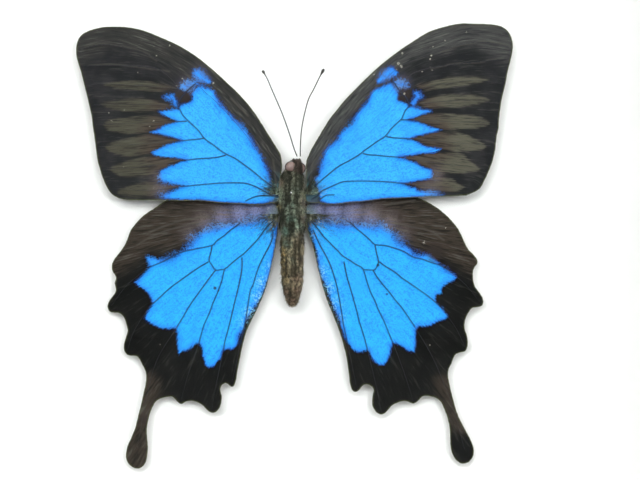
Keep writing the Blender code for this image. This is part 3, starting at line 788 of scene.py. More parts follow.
@dataclass(frozen=True)
class WoodFinish(Finish):
    """Open-grained wood under a black stain and a thin satin coat."""

    direction: Direction
    stain: Color = (0.012, 0.011, 0.01)
    worn: Color = (0.045, 0.036, 0.028)
    pore_size: Pair = (9 * MM, 0.35 * MM)
    figure_size: Pair = (60 * MM, 2.6 * MM)
    twist: float = 0.83

    def surface(self, graph: Graph, effects: Effects) -> dict[str, object]:
        """Values for the inputs of the Principled shader, by name."""
        x = graph.add("ShaderNodeSeparateXYZ", {"Vector": graph.coords()})
        y, z = x[1], x[2]
        along, side = (x, z) if self.direction is Direction.ACROSS else (z, x)
        lie = {"Along": along, "Across": side + y * self.twist}
        pores, figure = (
            effects.place(graph, streaked, {**lie, "Length": length, "Width": width})
            for length, width in (self.pore_size, self.figure_size)
        )
        wear = graph.step(graph.noise(graph.coords(), 55, 4, 0.6), 0.25, 0.75)
        shade = (graph.step(pores, 0.42, 0.68) + figure) * 0.5
        return {
            "Base Color": graph.mix(shade * wear, self.stain, self.worn),
            "Roughness": graph.step(pores, 0.5, 0.3) * 0.3 + 0.36,
            "Normal": graph.bump(graph.step(pores, 0.28, 0.46), 0.08 * MM, 0.8),
            "Coat Weight": 0.12,
            "Coat Roughness": 0.25,
        }


@dataclass(frozen=True)
class GlassFinish(Finish):
    """Clear float glass that lets lamps through."""

    name: str = "clear_glass"
    color: Color = (0.985, 0.995, 0.99)
    shadow: Color = (0.97, 0.985, 0.98)
    smear: float = 0.015

    def surface(self, graph: Graph, effects: Effects) -> dict[str, object]:
        """Values for the inputs of the Principled shader, by name."""
        return {
            "Base Color": (*self.color, 1),
            "Transmission Weight": 1.0,
            "IOR": 1.5,
            "Specular IOR Level": 0.25,
            "Roughness": graph.step(graph.noise(graph.coords(), 35, 4, 0.6), 0.6, 0.9) * self.smear,
        }

    def build(self, effects: Effects) -> bpy.types.Material:
        """Builds the material, and makes it clear to the rays that cast shadows."""
        made = super().build(effects)
        graph, nodes = Graph(made.node_tree), made.node_tree.nodes
        both = graph.add("ShaderNodeMixShader", {
            0: graph.add("ShaderNodeLightPath", output="Is Shadow Ray"),
            1: Value(graph, nodes["Principled BSDF"].outputs[0]),
            2: graph.add("ShaderNodeBsdfTransparent", {"Color": (*self.shadow, 1)}),
        })
        graph.feed(nodes["Material Output"].inputs["Surface"], both)
        return made


@dataclass(frozen=True)
class MetalFinish(Finish):
    """Drawn or plated steel with fine lines and dull spots."""

    bright: Color = (0.66, 0.66, 0.64)
    dull: Color = (0.4, 0.4, 0.39)
    roughness: float = 0.3
    line_length: float = 6 * MM
    line_width: float = 0.12 * MM

    def surface(self, graph: Graph, effects: Effects) -> dict[str, object]:
        """Values for the inputs of the Principled shader, by name."""
        x = graph.add("ShaderNodeSeparateXYZ", {"Vector": graph.coords()})
        lines = effects.place(graph, streaked, {
            "Along": x, "Across": x[2], "Length": self.line_length, "Width": self.line_width,
        })
        spots = graph.noise(graph.coords(), 900, 3, 0.6)
        hue = graph.mix(graph.step(spots, 0.52, 0.72), self.bright, self.dull)
        return {
            "Base Color": graph.mix(lines * 0.35, hue, self.dull),
            "Roughness": spots * 0.15 + self.roughness,
            "Normal": graph.bump(lines, 0.01 * MM, 0.5),
            "Metallic": 1.0,
        }


@dataclass(frozen=True)
class HairFinish(Finish):
    """Dry hair and long scales, each with its own tone, tinted by what the mesh stores."""

    dark: Color
    pale: Color
    teal: Color = (0.3, 0.78, 0.62)
    gold: Color = (1.0, 0.7, 0.24)
    rose: Color = (0.6, 0.34, 0.25)

    def surface(self, graph: Graph, effects: Effects) -> dict[str, object]:
        """Values for the inputs of the Principled shader, by name."""
        tone = graph.field("tone")
        hue = graph.mix(tone, self.dark, self.pale)
        for tint in HUES:
            hue = graph.mix(graph.field(tint), hue, graph.mix(tone, self.dark, getattr(self, tint)))
        hue = graph.mix(graph.field("share") * 0.15, hue, self.pale)
        cloud = graph.noise(graph.coords(), 1500, 3, 0.6)
        return {
            "Base Color": graph.mix(graph.step(cloud, 0.75, 0.3), hue, self.dark),
            "Roughness": 0.65 - tone * 0.2,
            "Specular IOR Level": 0.35,
        }


@dataclass(frozen=True)
class CuticleFinish(Finish):
    """Dark insect skin: scaly, uneven and a little glossy."""

    dark: Color
    pale: Color
    roughness: float = 0.5
    cell: float = 0.12 * MM
    cell_stretch: Triple = (1, 1, 0.45)

    def surface(self, graph: Graph, effects: Effects) -> dict[str, object]:
        """Values for the inputs of the Principled shader, by name."""
        place = graph.stretch(graph.coords(), self.cell_stretch)
        scales = effects.place(graph, scale_rows, {"Vector": place, "Size": self.cell})
        cloud = graph.noise(graph.coords(), 700, 3, 0.6)
        tone = (scales + cloud) * 0.5
        return {
            "Base Color": graph.mix(graph.step(tone, 0.3, 0.75), self.dark, self.pale),
            "Normal": graph.bump(scales["Height"], 0.05 * MM, 0.7),
            "Roughness": cloud * 0.2 + self.roughness,
        }


@dataclass(frozen=True)
class EyeFinish(Finish):
    """A compound eye: glossy, with rows of facets, a painted pinkish highlight in its middle and painted
    shade darkening to its rim as seen from the front.
    """

    name: str = "compound_eye"
    middle: Color = (0.25, 0.165, 0.145)
    edge: Color = (0.05, 0.03, 0.025)
    facet: float = 0.07 * MM

    def surface(self, graph: Graph, effects: Effects) -> dict[str, object]:
        """Values for the inputs of the Principled shader, by name."""
        facets = effects.place(graph, scale_rows, {"Vector": graph.coords(), "Size": self.facet})
        patch = graph.noise(graph.coords(), 800, 3, 0.5)
        # painted light: the pinkish middle is a painted highlight, and the darkening towards the rim as seen
        # from the front is painted shade
        rim = graph.step(graph.field("rim") + patch * 0.3, 0.8, 1.15)
        hue = graph.mix(rim, self.middle, self.edge)
        return {
            "Base Color": graph.mix(facets * 0.3, hue, self.edge),
            "Normal": graph.bump(facets["Height"], 0.02 * MM, 0.5),
            "Roughness": 0.22,
            "Coat Weight": 0.4,
        }


# Places on the specimen

PIXEL = 0.108 / 435
MIDDLE_PIXEL = (292, 246)
MIDDLE_HEIGHT = 105 * MM
BODY_MIDDLE = 292.3
BOARD_Y = 5.95 * MM
FAR_OUTSIDE = 20.0


def at(x: float, y: float, rise: float = 0.0) -> Vector:
    """The place of a pixel of the photograph, in front of the board by a rise."""
    side, up = (x - MIDDLE_PIXEL[0]) * PIXEL, MIDDLE_HEIGHT - (y - MIDDLE_PIXEL[1]) * PIXEL
    return Vector((side, BOARD_Y - rise, up))


def flat(points: Points) -> np.ndarray:
    """The (x, z) places of pixels, in millimetres."""
    rows = [at(x, y) for x, y in points]
    return np.array([(p.x, p.z) for p in rows]) / MM


def depth_inside(places: np.ndarray, patches: Sequence[Points]) -> np.ndarray:
    """How far places are inside any of several patches, in millimetres, at least minus FAR_OUTSIDE."""
    depth = np.full(len(places), -FAR_OUTSIDE)
    for patch in patches:
        depth = np.maximum(depth, inside_field(places, smooth_line(flat(patch), True, 2)))
    return depth


def bumps(places: np.ndarray, spots: Spots) -> np.ndarray:
    """Adds soft round hills at spots.

    Args:
        places: (x, z) rows in millimetres.
        spots: (pixel x, pixel y, radius in pixels, height) of each hill.

    Returns:
        The height at each place, the highest hill counting.
    """
    total = np.zeros(len(places))
    for x, y, radius, height in spots:
        gap = np.linalg.norm(places - flat([(x, y)])[0], axis=1)
        total = np.maximum(total, height * np.exp(-(gap / (radius * PIXEL / MM)) ** 2))
    return total


@dataclass(frozen=True)
class Markings:
    """What is on one wing, in the photograph's pixels.

    Dark veins cross the blue, side veins run on to the margin between the rays and pale veins show
    in brown parts. Fields are where the wing is dull brown. Soft, hazed, worn, blotched and frosted
    spots are (x, y, radius, amount).
    """

    blue: Sequence[Points]
    rays: Sequence[Points]
    dark_veins: Sequence[Points]
    side_veins: Sequence[Points]
    pale_veins: Sequence[Points]
    soft: Spots
    haze: Spots
    worn: Spots
    blotch: Spots
    fields: Sequence[Points] = ()
    frost: Spots = ()


@dataclass(frozen=True)
class WingRise:
    """How far a wing stands in front of the board, from its root out to its tip."""

    root: float
    tip: float
    arch: float
    reach: float
    droop: float
    tail_reach: float = 60 * MM

    def level(self, places: np.ndarray) -> np.ndarray:
        """The rise at (x, z) places in metres."""
        out = np.minimum(1, np.abs(places[:, 0]) / self.reach)
        down = np.clip((MIDDLE_HEIGHT - places[:, 1]) / self.tail_reach, 0, 1)
        arch = self.arch * np.sin(np.pi * out)
        return self.root + (self.tip - self.root) * out + arch - self.droop * down


FOREWING_RISE = WingRise(4.6 * MM, 3.3 * MM, 0.35 * MM, 54 * MM, 0.0)
HINDWING_RISE = WingRise(3.4 * MM, 2.5 * MM, 0.15 * MM, 46 * MM, 0.5 * MM)


@dataclass
class Wing:
    """One wing: a scaled sheet with its veins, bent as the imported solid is."""

    name: str
    marks: Markings
    rise: WingRise
    finish: bpy.types.Material
    underside: bpy.types.Material
    vein_finish: bpy.types.Material
    root_pixel: Pair
    seed: int
    pitch: float = 0.2 * MM
    thick: float = 0.1 * MM
    hollow: float = 0.13 * MM
    hollow_reach: float = 0.8
    ripple: float = 0.3
    ripple_waves: Pair = (900, 700)
    vein_radius: float = 0.1 * MM
    vein_taper: float = 0.6
    side_vein_share: float = 0.6
    rib_core: float = 0.05
    rib_reach: float = 0.28
    pale_rib_extra: float = 0.1
    pale_rib_strength: float = 0.55
    softness: float = 0.25
    fringe: float = 0.05 * MM
    edge_pitch: float = 0.28 * MM
    fan_radius: float = 34.0
    vein_gap: float = 5.0
    back_facing: float = 0.9
    side_facing: float = 0.3

    def outline(self, solid: bpy.types.Object) -> np.ndarray:
        """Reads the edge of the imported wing's back and smooths it.

        Args:
            solid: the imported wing.

        Returns:
            (x, z) rows in metres, a closed loop.
        """
        shape = bmesh.new()
        shape.from_mesh(solid.data)
        bmesh.ops.remove_doubles(shape, verts=shape.verts, dist=WELD)
        shape.normal_update()
        beside: dict[int, list[int]] = {}
        for edge in shape.edges:
            turned = [face.normal.y for face in edge.link_faces]
            if len(turned) == 2 and max(turned) > self.back_facing and min(turned) < self.side_facing:
                a, b = (vertex.index for vertex in edge.verts)
                beside.setdefault(a, []).append(b)
                beside.setdefault(b, []).append(a)
        start = next(iter(beside))
        loop, before, here = [start], None, start
        while True:
            step = next(i for i in beside[here] if i != before)
            before, here = here, step
            if here == start:
                break
            loop.append(here)
        shape.verts.ensure_lookup_table()
        ring = np.array([(shape.verts[i].co.x, shape.verts[i].co.z) for i in loop])
        shape.free()
        return self.frayed(self.even(smooth_line(self.corners(ring), True, 5)))

    def corners(self, ring: np.ndarray) -> np.ndarray:
        """Leaves out a loop's points that lie on a straight line between their neighbours."""
        kept = []
        for before, here, after in zip(np.roll(ring, 1, 0), ring, np.roll(ring, -1, 0)):
            a, b = here - before, after - here
            turn = abs(a[0] * b[1] - a[1] * b[0]) / (np.linalg.norm(a) * np.linalg.norm(b))
            if turn > STRAIGHT_TURN:
                kept.append(here)
        return np.array(kept)

    def even(self, ring: np.ndarray) -> np.ndarray:
        """Spaces a loop's points evenly."""
        closed = np.vstack([ring, ring[:1]])
        gone = np.concatenate([[0], np.cumsum(np.linalg.norm(np.diff(closed, axis=0), axis=1))])
        stops = np.linspace(0, gone[-1], int(gone[-1] / self.edge_pitch), endpoint=False)
        return np.stack([np.interp(stops, gone, closed[:, i]) for i in (0, 1)], 1)

    def frayed(self, ring: np.ndarray) -> np.ndarray:
        """Makes a loop a little uneven, as a fringe of scales is."""
        chance = np.random.default_rng(self.seed)
        ahead = np.roll(ring, -1, 0) - np.roll(ring, 1, 0)
        length = np.maximum(np.linalg.norm(ahead, axis=1, keepdims=True), WELD)
        side = np.stack([ahead[:, 1], -ahead[:, 0]], 1) / length
        return ring + side * chance.uniform(-self.fringe, self.fringe, (len(ring), 1))

    def cutter(self, ring: np.ndarray) -> bpy.types.Object:
        """Makes a closed block with the wing's outline.

        Args:
            ring: the outline.

        Returns:
            The block.
        """
        mesh = bpy.data.meshes.new("cutter")
        mesh.from_pydata([(x, -MM, z) for x, z in ring], [], [range(len(ring))])
        block = placed("cutter", mesh)
        with editing(block):
            bpy.ops.mesh.select_all(action="SELECT")
            bpy.ops.mesh.extrude_region_move(TRANSFORM_OT_translate={"value": (0, 2 * MM, 0)})
            bpy.ops.mesh.select_all(action="SELECT")
            bpy.ops.mesh.normals_make_consistent(inside=False)
        return block

    def sheet(self, ring: np.ndarray) -> bpy.types.Object:
        """Cuts the flat front of the wing from a fine grid.

        Args:
            ring: the outline.

        Returns:
            The sheet, in the plane y = 0.
        """
        low, high = ring.min(0), ring.max(0)
        columns, rows = (int((high - low)[i] / self.pitch) + 3 for i in (0, 1))
        middle = (low + high) / 2
        block = self.cutter(ring)
        select_only(block)
        block.select_set(False)
        bpy.ops.mesh.primitive_grid_add(
            x_subdivisions=columns, y_subdivisions=rows, size=1,
            location=(middle[0], 0, middle[1]), rotation=(math.pi / 2, 0, 0),
        )
        bpy.context.object.scale = (columns * self.pitch, rows * self.pitch, 1)
        piece = named(self.name)
        crop = piece.modifiers.new("crop", "BOOLEAN")
        crop.operation = "INTERSECT"
        crop.solver = "EXACT"
        crop.object = block
        finish_modifiers(piece)
        bpy.data.objects.remove(block)
        with editing(piece):
            pick(piece, lambda place: abs(place.y) > WELD)
            bpy.ops.mesh.delete(type="VERT")
            if sum(face.normal.y for face in bmesh.from_edit_mesh(piece.data).faces) > 0:
                bpy.ops.mesh.select_all(action="SELECT")
                bpy.ops.mesh.flip_normals()
        return piece

    def dress(self, piece: bpy.types.Object, ring: np.ndarray) -> np.ndarray:
        """Stores the markings on the sheet.

        Args:
            piece: the flat sheet.
            ring: the outline, in metres.

        Returns:
            The distance to the nearest vein for each vertex, in millimetres.
        """
        marks = self.marks
        places = vertex_places(piece)[:, [0, 2]] / MM
        blue = depth_inside(places, marks.blue)
        vein = np.full(len(places), np.inf)
        rib, pale = np.zeros(len(places)), np.zeros(len(places))
        kinds = (
            (marks.dark_veins, 1.0, 0.0), (marks.side_veins, 0.0, 0.0),
            (marks.pale_veins, self.pale_rib_strength, 1.0),
        )
        for lines, strength, paleness in kinds:
            reach = self.rib_reach + self.pale_rib_extra * paleness
            for line in lines:
                gap = line_field(places, smooth_line(flat(line), False, 3))[0]
                closer = gap < vein
                vein[closer] = gap[closer]
                rib[closer] = strength * np.clip((reach - gap[closer]) / (reach - self.rib_core), 0, 1)
                pale[closer] = paleness
        out = places - flat([self.root_pixel])[0]
        fan = np.arctan2(out[:, 1], np.sign(np.mean(out[:, 0])) * out[:, 0]) * self.fan_radius
        if marks.rays:
            fan = np.where(blue < 0, self.between_veins(places), fan)
        fields = {
            "blue": blue, "ray": depth_inside(places, marks.rays), "rib": rib, "rib_pale": pale,
            "frost": bumps(places, marks.frost), "margin": inside_field(places, ring / MM),
            "root": np.hypot(*out.T), "fan": fan, "field": depth_inside(places, marks.fields),
            "soft": self.softness + bumps(places, marks.soft), "haze": bumps(places, marks.haze),
            "worn": bumps(places, marks.worn), "blotch": bumps(places, marks.blotch),
        }
        for name, values in fields.items():
            set_field(piece, name, values)
        return vein

    def between_veins(self, places: np.ndarray) -> np.ndarray:
        """Counts across the side veins, from the leading one down, as streaks between them run.

        Args:
            places: (x, z) rows in millimetres.

        Returns:
            The number of the vein above each place, with the share of the way to the next, as
            millimetres.
        """
        found = [line_field(places, smooth_line(flat(line), False, 3)) for line in self.marks.side_veins]
        gaps, sides = (np.array(values) for values in zip(*found))
        nearest = gaps.argmin(0)
        every = np.arange(len(places))
        gap = gaps[nearest, every]
        down = -np.sign(np.mean(places[:, 0])) * sides[nearest, every]
        other = (nearest + down).astype(int)
        known = (other >= 0) & (other < len(gaps))
        beyond = gaps[np.clip(other, 0, len(gaps) - 1), every]
        share = gap / np.maximum(gap + beyond, NEAR_ZERO)
        return nearest * self.vein_gap + down * np.where(known, share * self.vein_gap, gap)

    def bend(self, piece: bpy.types.Object, vein: np.ndarray) -> None:
        """Bends the sheet to its rise and lets it sink between the veins.

        Args:
            piece: the flat sheet.
            vein: the distance to the nearest vein for each vertex, in millimetres.
        """
        places = vertex_places(piece)
        level = self.rise.level(places[:, [0, 2]])
        sink = self.hollow * (1 - np.exp(-vein / self.hollow_reach))
        across, up = self.ripple_waves
        ripple = self.ripple * self.hollow * np.sin(places[:, 0] * across) * np.sin(places[:, 2] * up)
        places[:, 1] = BOARD_Y - level - self.thick / 2 + sink + ripple * np.clip(vein, 0, 1)
        set_places(piece, places)

    def vein_tubes(self, lines: Sequence[Points], label: str, radius: float) -> bpy.types.Object:
        """Makes the veins that stand up from the sheet, thinner towards their ends.

        Args:
            lines: their routes in pixels.
            label: a word for the object's name.
            radius: the radius at the start.

        Returns:
            The tubes, as one object.
        """
        routes = []
        for line in lines:
            curve = smooth_line(flat(line) * MM, False, 6)
            level = self.rise.level(curve)
            front = BOARD_Y - level - self.thick / 2
            routes.append([Vector((x, y, z)) for (x, z), y in zip(curve, front)])
        piece = tubes(
            f"{self.name}_{label}", routes, radius, lambda share: 1 - self.vein_taper * share, sides=1
        )
        piece.data.materials.append(self.vein_finish)
        return piece

    def build(self, solid: bpy.types.Object) -> bpy.types.Object:
        """Builds the wing.

        Args:
            solid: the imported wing.

        Returns:
            The wing, which replaces the solid.
        """
        ring = self.outline(solid)
        piece = self.sheet(ring)
        self.bend(piece, self.dress(piece, ring))
        for finish in (self.finish, self.underside):
            piece.data.materials.append(finish)
        shell = piece.modifiers.new("shell", "SOLIDIFY")
        shell.thickness = self.thick
        shell.offset = -1
        shell.material_offset = 1
        finish_modifiers(piece)
        select_only(piece)
        bpy.ops.object.shade_smooth_by_angle(angle=ROUND_ANGLE)
        return join(f"{self.name}_scaled", [
            piece,
            self.vein_tubes(self.marks.dark_veins, "veins", self.vein_radius),
            self.vein_tubes(self.marks.side_veins, "side_veins", self.vein_radius * self.side_vein_share),
        ])


LEFT_FOREWING = Markings(
    blue=[
        [(192, 101), (192, 95), (193, 90), (197, 86.8), (201, 86), (206, 87.5), (211, 89), (214.5, 92),
         (217, 96.5), (220, 101), (224, 106.5), (229, 112), (234, 117.5), (240, 122.5), (245, 128),
         (249, 133.5), (252.5, 139), (256, 145.5), (260, 152), (264, 159), (267, 166), (269, 172),
         (271, 180), (273, 187), (275, 192), (276, 198), (270, 202), (258, 204.5), (240, 203.5),
         (220, 202.5), (200, 200), (180, 200), (165, 199), (160, 196), (164, 194), (170, 191.5),
         (175, 189.5), (180, 187.5), (184, 186), (175, 184.5), (170, 184), (165, 183), (161, 181.5),
         (159.5, 179), (159.5, 175), (160, 171.5), (163, 169.5), (168, 167), (175, 164.5), (181, 161.5),
         (186, 160.5), (180, 158.8), (172, 158), (165, 157.2), (159, 156.5), (154.5, 155.5), (151.5, 152),
         (155, 150.5), (160, 148.5), (166, 145.5), (172, 143.5), (178, 141.8), (182, 140.8), (176, 138.7),
         (170, 137), (164, 135.3), (158, 134.3), (153, 133.5), (150.5, 132.3), (154, 131), (158, 129.5),
         (164, 126), (170, 124), (175, 122.5), (177, 122), (174, 120.3), (169, 118), (164, 115.5),
         (159, 112.5), (163, 110.5), (170, 109.7), (175, 109.3), (178, 108.5), (181, 105.5), (184, 104),
         (188, 102.5)],
        [(192.5, 72), (196, 69), (200, 69.5), (204, 72.5), (208, 77), (212, 82), (209, 85), (204, 83.5),
         (200, 82.5), (196, 80), (193.5, 77)],
        [(180, 88), (183, 84), (188, 81), (193, 80.5), (198, 82), (199, 85.5), (194, 87), (190, 89.5),
         (186, 91.5), (183, 90.5)],
        [(163, 97), (170, 94.5), (175, 94.5), (176.5, 98), (178, 102), (180, 106), (178.5, 108.5),
         (175, 107), (172, 103), (168, 99.5)],
    ],
    rays=[
        [(103, 84), (130, 80.5), (150, 82), (165, 84.5), (178, 89), (165, 91), (150, 92), (130, 90),
         (112, 88)],
        [(100, 104), (112, 101), (130, 98.5), (150, 99), (174, 107), (155, 111.5), (135, 112), (112, 110)],
        [(103, 125), (110, 119.5), (130, 117), (150, 115.5), (160, 117), (170, 120), (177, 122),
         (170, 124.5), (160, 128.5), (152, 131), (145, 133), (130, 134.5), (110, 131)],
        [(105, 148), (112, 142), (125, 138.5), (140, 135.5), (150, 134.8), (160, 136.5), (170, 139),
         (180, 141), (170, 144.5), (160, 149), (152, 152), (145, 155), (130, 157), (115, 154)],
        [(110, 170), (118, 164), (130, 160), (145, 157), (155, 157), (170, 158.5), (184, 160.5),
         (175, 164.5), (165, 168.5), (157, 172), (150, 176), (135, 177.5), (120, 176)],
        [(117, 192), (125, 187.5), (135, 184), (148, 182), (158, 182.5), (168, 184.5), (180, 186.5),
         (172, 190), (162, 193), (152, 195.5), (140, 197), (125, 197)],
    ],
    dark_veins=[
        [(275, 188), (268, 183.5), (262, 179), (255, 173), (243, 164), (235, 158.5), (224, 153),
         (214, 145.5), (205, 139), (199, 131), (190, 122.5), (184, 116.5), (181, 111.5), (177, 103)],
        [(187, 121.5), (177, 122)],
        [(205, 138.5), (198, 139.5), (190, 140.3), (182, 141)],
        [(226, 155.5), (218, 157.5), (208, 158.5), (198, 159), (190, 160), (184, 160.5)],
        [(277, 196), (272, 195.5), (262, 190), (255, 186.5), (248, 184), (240, 183), (220, 183.3),
         (200, 185), (190, 186), (183, 186.5)],
        [(278, 196.5), (270, 196), (262, 196), (255, 197), (250, 199), (246, 201)],
        [(196, 84), (187, 92), (181, 99), (178, 106)],
    ],
    side_veins=[
        [(279, 178), (262, 157), (245, 134), (225, 111), (205, 92), (180, 72), (150, 56), (110, 45),
         (80, 49)],
        [(184, 93), (160, 70), (128, 66), (82, 66)],
        [(178, 89), (150, 86.5), (103, 84), (88, 86)],
        [(174, 106), (150, 105), (94, 105)],
        [(177, 122), (150, 123), (96, 125)],
        [(182, 141), (150, 143.5), (99, 147)],
        [(184, 160.5), (150, 166), (103, 170)],
        [(183, 186.5), (150, 190.5), (113, 189)],
    ],
    pale_veins=[
        [(82, 49), (90, 46), (100, 44.5), (110, 45), (125, 47.5), (140, 51), (150, 56), (157, 61)],
        [(88, 66), (100, 65), (115, 65), (128, 66), (140, 67.5), (155, 69.5), (170, 72)],
        [(277, 186), (275.5, 178), (274.5, 169), (273, 160)],
        [(248, 116), (239, 107), (231, 99)],
    ],
    soft=[(222, 103, 12, 0.6), (240, 122, 14, 0.7), (255, 143, 14, 0.7), (266, 165, 12, 0.7),
          (205, 87, 10, 0.3), (202, 75, 10, 1.0), (188, 86, 8, 1.3), (171, 101, 8, 0.9),
          (158, 192, 14, 0.8), (159, 112, 6, 0.3)],
    haze=[(188, 86, 8, 0.6), (200, 76, 9, 0.3), (158, 178, 6, 0.4), (160, 190, 9, 0.35),
          (276, 205, 7, 0.35)],
    worn=[(183, 79, 1.6, 0.9), (177.5, 86, 1.2, 1), (213.5, 83.5, 1.5, 1), (138, 73, 1, 0.9),
          (170, 46, 1, 0.9), (155, 47, 1, 0.8), (157, 56, 1, 0.9), (125, 110, 1, 0.8), (112, 121, 1, 0.8),
          (118, 121, 1, 0.8), (154, 121, 1, 0.9), (150, 127, 1, 0.8), (124, 167, 1, 0.8),
          (154, 188, 1, 0.9), (109, 113, 1, 0.8)],
    blotch=[(183, 97, 7, 1), (178, 95, 4, 0.8), (187, 100, 4, 0.8)],
    fields=[[(279, 178), (262, 157), (245, 134), (225, 111), (205, 92), (180, 72), (150, 56), (110, 45),
             (84, 62), (70, 35), (100, 20), (130, 20), (170, 36), (205, 60), (240, 93), (268, 130),
             (286, 165)]],
)

